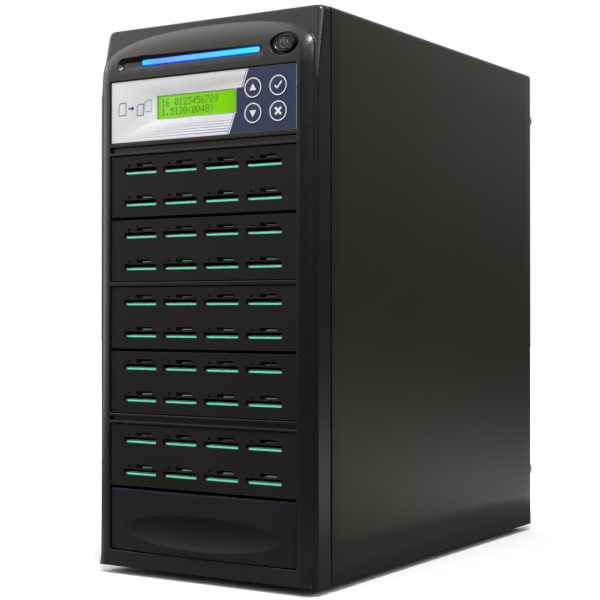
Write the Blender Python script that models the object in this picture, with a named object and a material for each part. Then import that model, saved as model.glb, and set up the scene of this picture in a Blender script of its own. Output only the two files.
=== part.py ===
"""A tower memory card duplicator.

A steel case carries a moulded front with a light bar and a power button, a
control panel with a display and four keys, five card reader panels of eight
double slots each, and a clip-in lower cover. Inside are the bay walls, the
trays with their boards, a ribbon cable, a power supply and two fans.

Frame: +X to the viewer's right, -Y to the front, +Z up, in metres. The origin
lies under the middle of the object, on the plane that its feet stand on.
"""
import math

import bmesh
import bpy

# Fits shared by all pieces.
fit_gap = 0.0003
overrun = 0.002
sink = 0.0002

# Steel case.
case_side = 0.013
case_depth = 0.3125
sheet = 0.001
cover_corner = 0.003
cover_flange = 0.012
chassis_flange = 0.016
wall_flange = 0.007
bay_depth = 0.112

# Rubber feet.
foot_height = 0.005
foot_radius = 0.008
foot_edge = 0.001
foot_inset_side = 0.024
foot_inset_end = 0.028

# Front panels, stacked upwards from the bottom bar of the front moulding. The
# head is the space from the control panel up to the top of the case.
panel_width = 0.148
panel_height = 0.041
panel_gap = 0.0019
panel_recess = 0.0008
panel_thickness = 0.0023
panel_edge = 0.0004
bottom_bar = 0.0119
lower_bar = 0.0078
upper_bar = 0.0038
control_bar = 0.0092
head_height = 0.0378
window_clearance = 0.0006
bar_lip = 0.0017
bar_groove_depth = 0.0016

# Moulded front.
bezel_rim = 0.0093
bezel_seam = 0.0008
bezel_wall = 0.0025
bezel_corner = 0.004
bezel_edge = 0.001
shield_proud = 0.005
shield_inset = 0.0025
shield_round = 0.0025
shield_step = 0.0004
shield_lean = 0.0045
arch_gap = 0.0047
arch_lift = 0.0046
visor_start = 0.0094
visor_recede = 0.0072
post_radius = 0.0026
pocket_depth = 0.0045

# Light bar and its board.
light_height = 0.0044
light_depth = 0.0115
light_start_gap = 0.019
light_end_gap = 0.0052
light_level_share = 0.31
light_recess_margin = 0.0176
light_recess_gap = 0.0042
light_recess_height = 0.009
light_recess_drop = 0.0018
light_board_height = 0.009
board_post_radius = 0.002
board_post_share = 1 / 3

# Power button and its switch.
button_margin = 0.0226
button_level_share = 0.3545
button_half_width = 0.0076
button_half_height = 0.0054
button_recess_half_width = 0.0105
button_recess_half_height = 0.0075
button_proud = 0.0004
button_travel = 0.003
button_flange = 0.0015
button_stem = 0.0012
switch_size = 0.011

# Lower cover.
cover_crown = 0.003
cover_crown_proud = 0.002
dish_margin = 0.0126
dish_half_height = 0.011
dish_drop = 0.005
dish_depth = 0.0026
lower_cover_wall = 0.0022
leg_thickness = 0.0016
leg_height = 0.012
leg_length = 0.034

# Control panel.
overlay_thickness = 0.0005
display_margin = 0.0388
display_key_gap = 0.0064
display_height = 0.0149
display_lift = 0.0008
display_glass = 0.0016
display_frame_side = 0.0038
display_frame_height = 0.026
display_frame_depth = 0.006
display_board_side = 0.0053
display_board_margin = 0.0035
key_radius = 0.0069
key_margin = 0.0134
key_pitch = 0.0191
key_up_lift = 0.0078
key_down_drop = 0.0083
key_proud = 0.0003
key_travel = 0.0006
key_cap = 0.0012
key_stem_radius = 0.002
key_stem_length = 0.005
key_board_margin = 0.0035
tact_size = 0.006
tact_height = 0.0035
boss_radius = 0.002

# Card slots in a reader panel, placed from the lower left corner of a slot.
slot_columns = 4
column_margin = 0.008
column_web = 0.006
upper_row = 0.0081
lower_row = -0.0132
large_slot_height = 0.004
small_slot_height = 0.0024
small_slot_lift = 0.0049
small_slot_inset = 0.0106
small_slot_end = 0.0036
lamp_radius = 0.00075
lamp_inset = 0.0043
lamp_lift = 0.0059

# Circuit boards and their sockets.
board_thickness = 0.0016
board_rise = 0.0003
board_depth = 0.088
large_socket_side = 0.00075
large_socket_depth = 0.029
large_socket_height = 0.0029
large_mouth_inset = 0.0011
large_mouth_height = 0.0023
large_mouth_depth = 0.025
small_socket_side = 0.0007
small_socket_depth = 0.0155
small_socket_height = 0.0019
small_mouth_inset = 0.0006
small_mouth_height = 0.0011
small_mouth_depth = 0.012
socket_setback = 0.0005
mouth_floor = 0.0003
chip_size = 0.014
chip_height = 0.0014
header_width = 0.032
header_height = 0.006
header_depth = 0.008
header_overhang = 0.001
control_board_setback = 0.018
control_board_rise = 0.0045
control_chip_size = 0.021

# Trays.
tray_side_gap = 0.001
tray_margin = 0.0015
tray_setback = 0.004

# Ribbon cable.
ribbon_width = 0.03
ribbon_thickness = 0.0009
plug_depth = 0.006
plug_height = 0.005

# Power supply.
supply_side_gap = 0.012
supply_depth = 0.14
supply_top_gap = 0.004
supply_wall = 0.001
supply_lip = 0.006
supply_board_rise = 0.006
supply_fan_gap = 0.0045
supply_fan_room = 0.002
vent_width = 0.005
vent_height = 0.05
vent_pitch = 0.009
vent_margin = 0.021
coil_size = 0.034
coil_height = 0.036
sink_thickness = 0.003
sink_height = 0.05
sink_spread = 0.056
sink_depth_share = 0.8

# Mains inlet with its rocker switch.
inlet_margin = 0.01
inlet_width = 0.027
inlet_height = 0.048
inlet_rim = 0.002
inlet_rim_depth = 0.002
inlet_depth = 0.019
socket_width = 0.0245
socket_height = 0.017
socket_depth = 0.0162
socket_drop = 0.0125
socket_chamfer = 0.004
pin_width = 0.002
pin_height = 0.004
pin_length = 0.012
pin_spread = 0.007
pin_shift = 0.0022
rocker_lift = 0.0118
rocker_radius = 0.0092
rocker_width = 0.013
rocker_front = 0.0036
rocker_inside = 0.0032
rocker_pin_radius = 0.001
rocker_pin_length = 0.0016
rocker_half_angle = math.radians(8)
rocker_first_angle = math.radians(62)
rocker_angle_step = math.radians(18)
rocker_steps = 5

# Fans.
fan_size = 0.08
fan_depth = 0.025
fan_rim = 0.002
fan_hub = 0.017
fan_hub_wall = 0.002
fan_hub_depth = 0.019
fan_tip_gap = 0.0012
fan_blades = 7
fan_plate = 0.003
fan_arm = 0.004
fan_stator = 0.0125
fan_stator_depth = 0.012
fan_shaft = 0.0015
fan_corner = 0.003
fan_end_gap = 0.002
fan_shaft_wall = 0.001
blade_thickness = 0.0014
blade_chord = 0.016
blade_root_angle = math.radians(48)
blade_tip_angle = math.radians(30)
blade_shares = (0.0, 0.5, 1.0)
rear_fan_drop = 0.0722
grille_rings = 3
grille_bridge = 0.0035

# Thumbscrews that hold the cover.
screw_head_radius = 0.006
screw_head_height = 0.005
screw_radius = 0.0017
screw_length = 0.005
screw_edge = 0.0008
screw_low_share = 0.12
screw_high_share = 0.9

# Shares that shape curves.
arch_power_share = 0.8
arch_side_share = 2 / 3
visor_power_share = 1.3
lean_power_share = 1.5
dish_power_share = 0.75
visor_level_shares = (0.0, 0.25, 0.5, 0.75)

# Fineness of round shapes, in steps of an arc or sides of a whole turn.
round_steps = 3
arch_steps = 9
end_steps = 6
pin_sides = 8
screw_sides = 10
shaft_sides = 12
foot_sides = 16
key_sides = 20
oval_sides = 24
bore_sides = 28
dish_columns = 16
dish_rows = 8
smooth_angle = math.radians(35)

# Places worked out from the sizes above.
case_width = panel_width + 2 * case_side
half_width = case_width / 2
inner_half_width = half_width - sheet - fit_gap
shield_half_width = half_width - shield_inset
window_half = panel_width / 2 + window_clearance
post_side = (window_half + shield_half_width - bezel_wall) / 2
case_bottom = foot_height
lower_cover_z = case_bottom + bottom_bar
reader_bottoms = []
level = lower_cover_z + panel_height + panel_gap
for space_above in (lower_bar, panel_gap, upper_bar, panel_gap, control_bar):
    reader_bottoms.append(level)
    level += panel_height + space_above
control_z = level
control_top = control_z + panel_height
control_centre_z = control_z + panel_height / 2
reader_centres = [bottom + panel_height / 2 for bottom in reversed(reader_bottoms)]
case_top = control_top + head_height
case_height = case_top - case_bottom
arch_height = head_height - arch_lift - arch_gap
arch_spring_z = control_top + arch_lift
visor_start_z = control_top - visor_start
light_z = control_top + head_height * light_level_share
button_z = control_top + head_height * button_level_share
bezel_depth = shield_proud + visor_recede + bezel_rim
rear_reach = fit_gap + screw_head_height
total_depth = cover_crown_proud + bezel_depth + case_depth + rear_reach
face_y = cover_crown_proud - total_depth / 2
seam_y = face_y + bezel_depth
rear_y = seam_y + case_depth
frame_back_y = seam_y + sheet
rear_panel_y = rear_y - 2 * sheet - fit_gap
floor_top = case_bottom + sheet
shield_base_y = face_y + shield_proud
panel_y = face_y + panel_recess
tray_y = panel_y + panel_thickness + fit_gap
tray_half = panel_width / 2 - tray_side_gap
tray_height = panel_height - 2 * tray_margin
board_half = tray_half - sheet - fit_gap
board_back_y = tray_y + board_depth
plug_y = board_back_y + header_overhang + fit_gap

button_side = half_width - button_margin
light_recess_left = half_width - light_recess_margin
light_recess_right = button_side - button_recess_half_width - light_recess_gap
light_left = light_start_gap - light_recess_left
light_right = light_recess_right - light_end_gap
light_length = light_right - light_left
light_side = (light_left + light_right) / 2
key_right = panel_width / 2 - key_margin
key_left = key_right - key_pitch
key_board_size = panel_height - 2 * key_board_margin
display_left = display_margin - panel_width / 2
display_right = key_left - key_radius - display_key_gap
display_width = display_right - display_left
column_pitch = (panel_width - 2 * column_margin) / slot_columns
large_slot_width = column_pitch - column_web
small_slot_width = large_slot_width - small_slot_inset - small_slot_end
control_board_low = control_centre_z - tray_height / 2 + control_board_rise

fan_bore = fan_size / 2 - fan_rim
supply_width = case_width - 2 * supply_side_gap
supply_height = fan_size + 2 * supply_wall + 2 * supply_fan_room
supply_back_y = rear_panel_y - fit_gap
supply_front_y = supply_back_y - supply_depth
supply_top = case_top - sheet - supply_top_gap
supply_bottom = supply_top - supply_height
supply_centre_z = supply_top - supply_height / 2
supply_fan_side = supply_wall + fan_size / 2 + supply_fan_gap - supply_width / 2
inlet_side = supply_width / 2 - inlet_margin - inlet_width / 2
rear_fan_z = supply_bottom - rear_fan_drop

looks = {
    "case_steel": ((0.045, 0.038, 0.034), 0.45, 0.2),
    "bare_steel": ((0.55, 0.56, 0.57), 0.35, 1.0),
    "rubber": ((0.02, 0.02, 0.02), 0.8, 0.0),
    "front_plastic": ((0.03, 0.03, 0.027), 0.42, 0.0),
    "reader_plastic": ((0.012, 0.012, 0.011), 0.5, 0.0),
    "cover_plastic": ((0.022, 0.025, 0.035), 0.5, 0.0),
    "button_plastic": ((0.02, 0.02, 0.02), 0.35, 0.0),
    "light": ((0.05, 0.45, 1.0), 0.2, 0.0),
    "film": ((0.75, 0.76, 0.78), 0.4, 0.0),
    "key_film": ((0.05, 0.06, 0.13), 0.4, 0.0),
    "display": ((0.3, 0.75, 0.02), 0.2, 0.0),
    "board": ((0.03, 0.3, 0.2), 0.5, 0.0),
    "dark_board": ((0.02, 0.09, 0.05), 0.5, 0.0),
    "ribbon": ((0.4, 0.4, 0.42), 0.6, 0.0),
    "fan_plastic": ((0.015, 0.015, 0.015), 0.5, 0.0),
    "screw_steel": ((0.5, 0.5, 0.5), 0.3, 1.0),
}


def clear_scene():
    for obj in list(bpy.data.objects):
        bpy.data.objects.remove(obj)


def finish(name, look):
    colour, roughness, metallic = looks[look]
    material = bpy.data.materials.new(name + "_finish")
    material.use_nodes = True
    shader = material.node_tree.nodes["Principled BSDF"]
    shader.inputs["Base Color"].default_value = (*colour, 1.0)
    shader.inputs["Roughness"].default_value = roughness
    shader.inputs["Metallic"].default_value = metallic
    return material


def raw(bm):
    """A working object from a bmesh, with its faces turned outwards."""
    bmesh.ops.recalc_face_normals(bm, faces=bm.faces)
    mesh = bpy.data.meshes.new("shape")
    bm.to_mesh(mesh)
    bm.free()
    obj = bpy.data.objects.new("shape", mesh)
    bpy.context.scene.collection.objects.link(obj)
    return obj


def combine(base, tool, operation):
    """Carry out one Boolean on base and drop the tool."""
    step = base.modifiers.new("step", "BOOLEAN")
    step.operation = operation
    step.solver = "EXACT"
    step.object = tool
    graph = bpy.context.evaluated_depsgraph_get()
    result = bpy.data.meshes.new_from_object(base.evaluated_get(graph))
    base.modifiers.clear()
    base.data = result
    bpy.data.objects.remove(tool)
    return base


def cut(base, tool):
    return combine(base, tool, "DIFFERENCE")


def join(base, tool):
    return combine(base, tool, "UNION")


def named(obj, name, look, origin=(0.0, 0.0, 0.0), smooth=False):
    """Name a finished piece, give it its material and move its origin."""
    obj.name = name
    obj.data.name = name
    obj.data.materials.clear()
    obj.data.materials.append(finish(name, look))
    for vertex in obj.data.vertices:
        vertex.co.x -= origin[0]
        vertex.co.y -= origin[1]
        vertex.co.z -= origin[2]
    obj.location = origin
    if smooth:
        obj.data.shade_smooth()
        obj.data.set_sharp_from_angle(angle=smooth_angle)
    return obj


def blocks(spans):
    """Boxes, each given by its x, y and z spans."""
    bm = bmesh.new()
    for (x0, x1), (y0, y1), (z0, z1) in spans:
        corners = ((x0, y0), (x1, y0), (x1, y1), (x0, y1))
        low = [bm.verts.new((x, y, z0)) for x, y in corners]
        high = [bm.verts.new((x, y, z1)) for x, y in corners]
        bm.faces.new(low)
        bm.faces.new(high)
        for i in range(4):
            j = (i + 1) % 4
            bm.faces.new((low[i], low[j], high[j], high[i]))
    return raw(bm)


def block(x_span, y_span, z_span):
    return blocks([(x_span, y_span, z_span)])


def about(centre, size):
    """The span of a size laid evenly about a centre."""
    return (centre - size / 2, centre + size / 2)


def set_on(axis, u, v, w):
    """A point from its place in a profile's plane and along the axis."""
    return {"X": (w, u, v), "Y": (u, w, v), "Z": (u, v, w)}[axis]


def loft(rings):
    """Skin closed rings of equally many points and cap both ends."""
    bm = bmesh.new()
    loops = [[bm.verts.new(point) for point in ring] for ring in rings]
    for low, high in zip(loops, loops[1:]):
        for i in range(len(low)):
            j = (i + 1) % len(low)
            bm.faces.new((low[i], low[j], high[j], high[i]))
    bm.faces.new(loops[0])
    bm.faces.new(loops[-1])
    return raw(bm)


def prism(outline, axis, start, end):
    """An outline carried along an axis."""
    return loft([[set_on(axis, u, v, w) for u, v in outline] for w in (start, end)])


def prisms(outlines, axis, start, end):
    """Several separate outlines carried along an axis, in one object."""
    bm = bmesh.new()
    for outline in outlines:
        low = [bm.verts.new(set_on(axis, u, v, start)) for u, v in outline]
        high = [bm.verts.new(set_on(axis, u, v, end)) for u, v in outline]
        bm.faces.new(low)
        bm.faces.new(high)
        for i in range(len(low)):
            j = (i + 1) % len(low)
            bm.faces.new((low[i], low[j], high[j], high[i]))
    return raw(bm)


def oval(centre, half_wide, half_high, sides):
    """An ellipse as an outline."""
    points = []
    for i in range(sides):
        angle = 2 * math.pi * (i + 0.5) / sides
        u = centre[0] + half_wide * math.cos(angle)
        v = centre[1] + half_high * math.sin(angle)
        points.append((u, v))
    return points


def turned(profile, axis, centre, sides):
    """A round piece from (radius, place along the axis) pairs."""
    rings = []
    for radius, place in profile:
        outline = oval(centre, radius, radius, sides)
        rings.append([set_on(axis, u, v, place) for u, v in outline])
    return loft(rings)


def stadium(u0, u1, v_centre, height, steps):
    """A bar with round ends as an outline."""
    radius = height / 2
    points = []
    for centre, turn in ((u1 - radius, -math.pi / 2), (u0 + radius, math.pi / 2)):
        for i in range(steps + 1):
            angle = turn + math.pi * i / steps
            u = centre + radius * math.cos(angle)
            v = v_centre + radius * math.sin(angle)
            points.append((u, v))
    return points


def quarter(steps):
    """(inset share, rise share) pairs round a quarter circle."""
    pairs = []
    for i in range(steps + 1):
        angle = math.pi / 2 * i / steps
        pairs.append((1 - math.cos(angle), math.sin(angle)))
    return pairs


def rounded_top(half, bottom, top, radius, steps):
    """An upright rectangle with its two top corners rounded."""
    right = []
    for inset, rise in quarter(steps):
        right.append((half - radius * inset, top - radius + radius * rise))
    left = [(-x, z) for x, z in reversed(right)]
    return [(-half, bottom), (half, bottom)] + right + left


def screw_places():
    """Centres of the thumbscrews on the rear flange, as (x, z)."""
    side = half_width - sheet - cover_flange / 2
    places = []
    for share in (screw_low_share, screw_high_share):
        z = case_bottom + case_height * share
        places.append((-side, z))
        places.append((side, z))
    return places


def screw_holes(y0, y1):
    outlines = []
    for place in screw_places():
        outlines.append(oval(place, screw_radius + fit_gap, screw_radius + fit_gap, screw_sides))
    return prisms(outlines, "Y", y0, y1)


def grille_holes(centre, y0, y1):
    """Rings of curved slots, four to a ring, inside a fan's bore."""
    outlines = []
    pitch = (fan_bore - grille_bridge) / (grille_rings + 1)
    for ring in range(1, grille_rings + 1):
        inner = ring * pitch
        outer = inner + pitch - grille_bridge / 2
        for quadrant in range(4):
            points = []
            for radius, order in ((outer, 1), (inner, -1)):
                trim = math.asin(grille_bridge / 2 / radius)
                start = quadrant * math.pi / 2 + trim
                sweep = math.pi / 2 - 2 * trim
                arc = []
                for i in range(grille_rings + 1):
                    angle = start + sweep * i / grille_rings
                    u = centre[0] + radius * math.cos(angle)
                    v = centre[1] + radius * math.sin(angle)
                    arc.append((u, v))
                points.extend(arc[::order])
            outlines.append(points)
    return prisms(outlines, "Y", y0, y1)


def make_chassis_base():
    """A floor with its two sides turned up."""
    outer = inner_half_width
    inner = inner_half_width - sheet
    top = case_bottom + chassis_flange
    outline = [(-outer, case_bottom), (outer, case_bottom), (outer, top), (inner, top)]
    outline += [(inner, floor_top), (-inner, floor_top), (-inner, top), (-outer, top)]
    shape = prism(outline, "Y", frame_back_y + fit_gap, rear_panel_y - fit_gap)
    named(shape, "chassis_base", "bare_steel")


def make_cover():
    """The top and two sides in one sheet, with a flange round its rear edge."""
    inner = half_width - sheet
    opening = inner - cover_flange
    low = case_bottom - overrun
    shape = prism(rounded_top(half_width, case_bottom, case_top, cover_corner, round_steps),
                  "Y", seam_y, rear_y)
    room = rounded_top(inner, low, case_top - sheet, cover_corner - sheet, round_steps)
    shape = cut(shape, prism(room, "Y", seam_y - overrun, rear_y - sheet))
    mouth = block((-opening, opening), (seam_y, rear_y + overrun),
                  (low, case_top - sheet - cover_flange))
    shape = cut(shape, mouth)
    shape = cut(shape, screw_holes(rear_y - sheet - overrun, rear_y + overrun))
    named(shape, "cover", "case_steel", smooth=True)


def make_front_frame():
    """The steel plate behind the moulded front, open over the bays."""
    top = case_top - sheet - fit_gap
    outline = rounded_top(inner_half_width, case_bottom, top, cover_corner, round_steps)
    shape = prism(outline, "Y", seam_y, frame_back_y)
    opening = tray_half + fit_gap
    window = block((-opening, opening), (seam_y - overrun, frame_back_y + overrun),
                   (lower_cover_z, control_top))
    shape = cut(shape, window)
    named(shape, "front_frame", "bare_steel")


def make_bay_wall(name, side):
    """One side of the bay cage, with its foot and head turned outwards."""
    inner = tray_half + fit_gap
    outer = inner + sheet
    reach = outer + wall_flange
    low = floor_top + fit_gap
    high = control_top
    outline = [(inner, low), (reach, low), (reach, low + sheet), (outer, low + sheet)]
    outline += [(outer, high - sheet), (reach, high - sheet), (reach, high), (inner, high)]
    start = frame_back_y + fit_gap
    shape = prism([(side * x, z) for x, z in outline], "Y", start, start + bay_depth)
    named(shape, name, "bare_steel")


def make_rear_panel():
    """The rear sheet with the power supply's window and a fan grille."""
    top = case_top - sheet - fit_gap
    outline = rounded_top(inner_half_width, floor_top + fit_gap, top, cover_corner, round_steps)
    shape = prism(outline, "Y", rear_panel_y, rear_panel_y + sheet)
    window_half_width = supply_width / 2 - supply_lip
    start = rear_panel_y - overrun
    end = rear_panel_y + sheet + overrun
    window = block((-window_half_width, window_half_width), (start, end),
                   (supply_bottom + supply_lip, supply_top - supply_lip))
    shape = cut(shape, window)
    shape = cut(shape, grille_holes((0.0, rear_fan_z), start, end))
    shape = cut(shape, screw_holes(start, end))
    named(shape, "rear_panel", "bare_steel")


def make_feet():
    side = half_width - foot_inset_side
    front = seam_y + foot_inset_end
    rear = rear_y - foot_inset_end
    top = foot_height - fit_gap
    profile = [(foot_radius - foot_edge, 0.0), (foot_radius, foot_edge), (foot_radius, top)]
    for end, y in (("front", front), ("rear", rear)):
        for hand, x in (("left", -side), ("right", side)):
            shape = turned(profile, "Z", (x, y), foot_sides)
            named(shape, "foot_" + end + "_" + hand, "rubber", smooth=True)


def visor_y(z):
    """How far forward the outer body of the moulded front reaches."""
    climb = max(z - visor_start_z, 0.0) / (case_top - visor_start_z)
    return shield_base_y + visor_recede * climb ** visor_power_share


def shield_y(z):
    """The face of the raised shield, leaning back above the control panel."""
    climb = max(z - control_top, 0.0) / (arch_spring_z + arch_height - control_top)
    return face_y + shield_lean * climb ** lean_power_share


def bezel_body():
    """The outer body: level sections up the front, drawn in at the top corners."""
    back = seam_y - bezel_seam
    levels = [(case_bottom, half_width)]
    for share in visor_level_shares:
        z = visor_start_z + (case_top - bezel_corner - visor_start_z) * share
        levels.append((z, half_width))
    for inset, rise in quarter(round_steps):
        z = case_top - bezel_corner + bezel_corner * rise
        levels.append((z, half_width - bezel_corner * inset))
    rings = []
    for z, half in levels:
        front = visor_y(z)
        right = [(half, back), (half, front + bezel_edge), (half - bezel_edge, front)]
        left = [(-x, y) for x, y in reversed(right)]
        rings.append([(x, y, z) for x, y in right + left])
    return loft(rings)


def shield_half(inset):
    """The right half of the shield's outline, from the bottom up and inwards."""
    half = shield_half_width - inset
    height = arch_height - inset
    points = [(half, case_bottom + shield_step + inset), (half, control_top)]
    for i in range(arch_steps):
        turn = math.pi / 2 * (1 - i / arch_steps)
        x = half * math.sin(turn) ** arch_side_share
        z = arch_spring_z + height * max(math.cos(turn), 0.0) ** arch_power_share
        points.append((x, z))
    return points


def shield():
    """The raised face of the front: an arch-topped outline with a rounded edge."""
    root = shield_base_y + visor_recede + bezel_edge
    depths = [(0.0, None)]
    for inset, rise in quarter(round_steps):
        depths.append((shield_round * inset, shield_round * (1 - rise)))
    bm = bmesh.new()
    loops = []
    for inset, depth in depths:
        right = shield_half(inset)
        left = [(-x, z) for x, z in reversed(right)]
        ring = []
        for x, z in right + left:
            y = root if depth is None else shield_y(z) + depth
            ring.append(bm.verts.new((x, y, z)))
        loops.append(ring)
    count = len(loops[0])
    for low, high in zip(loops, loops[1:]):
        for i in range(count):
            j = (i + 1) % count
            bm.faces.new((low[i], low[j], high[j], high[i]))
    bm.faces.new(loops[0])
    front = loops[-1]
    for i in range(count // 2 - 1):
        bm.faces.new((front[i], front[i + 1], front[count - 2 - i], front[count - 1 - i]))
    return raw(bm)


def room_front(z):
    """The front of the hollow above the control panel, a wall behind the visor."""
    return visor_y(z) + bezel_wall


def bezel_room():
    """The hollow behind the moulded front."""
    half = shield_half_width - bezel_wall
    back = seam_y + overrun
    front = face_y + bezel_wall
    low = case_bottom + bezel_wall
    high = case_top - bezel_wall
    outline = [(back, low), (front, low), (front, control_top)]
    for share in visor_level_shares + (1.0,):
        z = control_top + (high - control_top) * share
        outline.append((room_front(z), z))
    outline.append((back, high))
    return prism(outline, "X", -half, half)


def bezel_windows():
    """Cutters for the four windows: lower cover and readers, then the controls."""
    spans = []
    pairs = ((lower_cover_z, reader_bottoms[0]), (reader_bottoms[1], reader_bottoms[2]),
             (reader_bottoms[3], reader_bottoms[4]), (control_z, control_z))
    for low, high in pairs:
        z_span = (low - window_clearance, high + panel_height + window_clearance)
        spans.append(((-window_half, window_half), (face_y - overrun, seam_y + overrun), z_span))
    return blocks(spans)


def bar_grooves():
    """Cutters for the grooves along the two taller bars."""
    spans = []
    for low, bar in ((reader_bottoms[0], lower_bar), (reader_bottoms[4], control_bar)):
        centre = low + panel_height + bar / 2
        height = bar - 2 * window_clearance - 2 * bar_lip
        depth = face_y + bar_groove_depth
        spans.append(((-window_half, window_half), (face_y - overrun, depth), about(centre, height)))
    return blocks(spans)


def post_heights():
    """Levels of the posts behind the moulded front."""
    return (lower_cover_z, reader_bottoms[2], control_z)


def make_bezel():
    """The moulded front: body, shield, hollow, windows, recesses and posts."""
    shape = join(bezel_body(), shield())
    shape = cut(shape, bezel_room())
    posts = []
    for z in post_heights():
        for side in (-post_side, post_side):
            posts.append(oval((side, z), post_radius, post_radius, screw_sides))
    post_front = face_y + bezel_wall - sink
    shape = join(shape, prisms(posts, "Y", post_front, seam_y - fit_gap))
    shape = cut(shape, bezel_windows())
    shape = cut(shape, bar_grooves())
    pocket = face_y + pocket_depth
    light_recess = stadium(-light_recess_left, light_recess_right,
                           light_z - light_recess_drop, light_recess_height, end_steps)
    shape = cut(shape, prism(light_recess, "Y", face_y - overrun, pocket))
    button_recess = oval((button_side, button_z), button_recess_half_width,
                         button_recess_half_height, oval_sides)
    shape = cut(shape, prism(button_recess, "Y", face_y - overrun, pocket))
    slot = block((light_left - fit_gap, light_right + fit_gap), (face_y, seam_y),
                 about(light_z, light_height + 2 * fit_gap))
    shape = cut(shape, slot)
    bore = oval((button_side, button_z), button_half_width + fit_gap,
                button_half_height + fit_gap, oval_sides)
    shape = cut(shape, prism(bore, "Y", face_y, seam_y))
    named(shape, "front_bezel", "front_plastic", smooth=True)


def make_light():
    """The light bar and, behind it, its board on two posts off the frame."""
    front = face_y + pocket_depth - light_height / 4
    back = front + light_depth
    bar = block((light_left, light_right), (front, back), about(light_z, light_height))
    named(bar, "light_bar", "light")
    board_front = back + fit_gap
    board_back = board_front + board_thickness
    board = block((light_left, light_right), (board_front, board_back),
                  about(light_z, light_board_height))
    posts = []
    reach = light_length * board_post_share
    for side in (light_side - reach, light_side + reach):
        posts.append(oval((side, light_z), board_post_radius, board_post_radius, pin_sides))
    board = join(board, prisms(posts, "Y", board_back - sink, seam_y - fit_gap))
    named(board, "light_board", "board")


def make_power_button():
    """An oval cap with a flange behind the wall and a stem to its switch."""
    centre = (button_side, button_z)
    front = shield_y(button_z) - button_proud
    flange_top = button_z + button_half_height + button_flange
    flange_front = room_front(flange_top) + fit_gap
    flange_back = flange_front + button_flange
    stem_back = flange_back + button_stem
    switch_front = stem_back + button_travel + fit_gap
    shrink = button_proud
    cap_rings = []
    for step, y in ((2 * shrink, front), (0.0, front + shrink), (0.0, flange_front + sink)):
        outline = oval(centre, button_half_width - step, button_half_height - step, oval_sides)
        cap_rings.append([(x, y, z) for x, z in outline])
    shape = loft(cap_rings)
    flange = oval(centre, button_half_width + button_flange,
                  button_half_height + button_flange, foot_sides)
    shape = join(shape, prism(flange, "Y", flange_front, flange_back))
    stem = oval(centre, key_stem_radius, key_stem_radius, pin_sides)
    shape = join(shape, prism(stem, "Y", flange_back - sink, stem_back))
    origin = (button_side, front, button_z)
    named(shape, "power_button", "button_plastic", origin, smooth=True)
    switch = block(about(button_side, switch_size), (switch_front, seam_y - fit_gap),
                   about(button_z, switch_size))
    named(switch, "power_switch", "fan_plastic")


def lower_cover_y(x, z):
    """The lower cover's face: a crown across the width with a shallow dish."""
    across = x / (panel_width / 2)
    rim = face_y + cover_crown - cover_crown_proud
    crown = cover_crown * (1 - across * across)
    u = x / (panel_width / 2 - dish_margin)
    v = (z + dish_drop) / dish_half_height
    bowl = max(1 - u * u - v * v, 0.0)
    return rim - crown + dish_depth * bowl ** dish_power_share


def make_lower_cover():
    """A crowned panel, hollow behind, with two clip legs at each side."""
    centre_z = lower_cover_z + panel_height / 2
    columns = dish_columns
    rows = dish_rows
    bm = bmesh.new()
    front = []
    back = []
    back_y = face_y + cover_crown - cover_crown_proud + lower_cover_wall
    for r in range(rows + 1):
        z = panel_height * (r / rows - 0.5)
        front_row = []
        back_row = []
        for c in range(columns + 1):
            x = panel_width * (c / columns - 0.5)
            front_row.append(bm.verts.new((x, lower_cover_y(x, z), centre_z + z)))
            edge = r in (0, rows) or c in (0, columns)
            if edge:
                back_row.append(bm.verts.new((x, back_y, centre_z + z)))
            else:
                back_row.append(None)
        front.append(front_row)
        back.append(back_row)
    for r in range(rows):
        for c in range(columns):
            bm.faces.new((front[r][c], front[r][c + 1], front[r + 1][c + 1], front[r + 1][c]))
    ring = [(0, c) for c in range(columns)] + [(r, columns) for r in range(rows)]
    ring += [(rows, c) for c in range(columns, 0, -1)] + [(r, 0) for r in range(rows, 0, -1)]
    for i in range(len(ring)):
        (r0, c0), (r1, c1) = ring[i], ring[(i + 1) % len(ring)]
        bm.faces.new((front[r0][c0], front[r1][c1], back[r1][c1], back[r0][c0]))
    bm.faces.new([back[r][c] for r, c in ring])
    shape = raw(bm)
    legs = []
    for side in (-1, 1):
        outer = side * tray_half
        inner = side * (tray_half - leg_thickness)
        x_span = (min(inner, outer), max(inner, outer))
        y_span = (back_y - sink, back_y + leg_length)
        legs.append((x_span, y_span, about(centre_z, leg_height)))
    shape = join(shape, blocks(legs))
    named(shape, "lower_cover", "cover_plastic", smooth=True)


def panel_plate(front_y, thickness, centre_z, clearance):
    """A front plate with a small chamfer round its face."""
    half = panel_width / 2 - clearance
    half_high = panel_height / 2 - clearance
    rings = []
    for inset, y in ((panel_edge, front_y), (0.0, front_y + panel_edge),
                     (0.0, front_y + thickness)):
        w = half - inset
        h = half_high - inset
        corners = ((-w, -h), (w, -h), (w, h), (-w, h))
        rings.append([(x, y, centre_z + z) for x, z in corners])
    return loft(rings)


def slot_lefts():
    """The left edges of the card slots across a reader panel."""
    lefts = []
    for column in range(slot_columns):
        centre = (column - (slot_columns - 1) / 2) * column_pitch
        lefts.append(centre - large_slot_width / 2)
    return lefts


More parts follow.
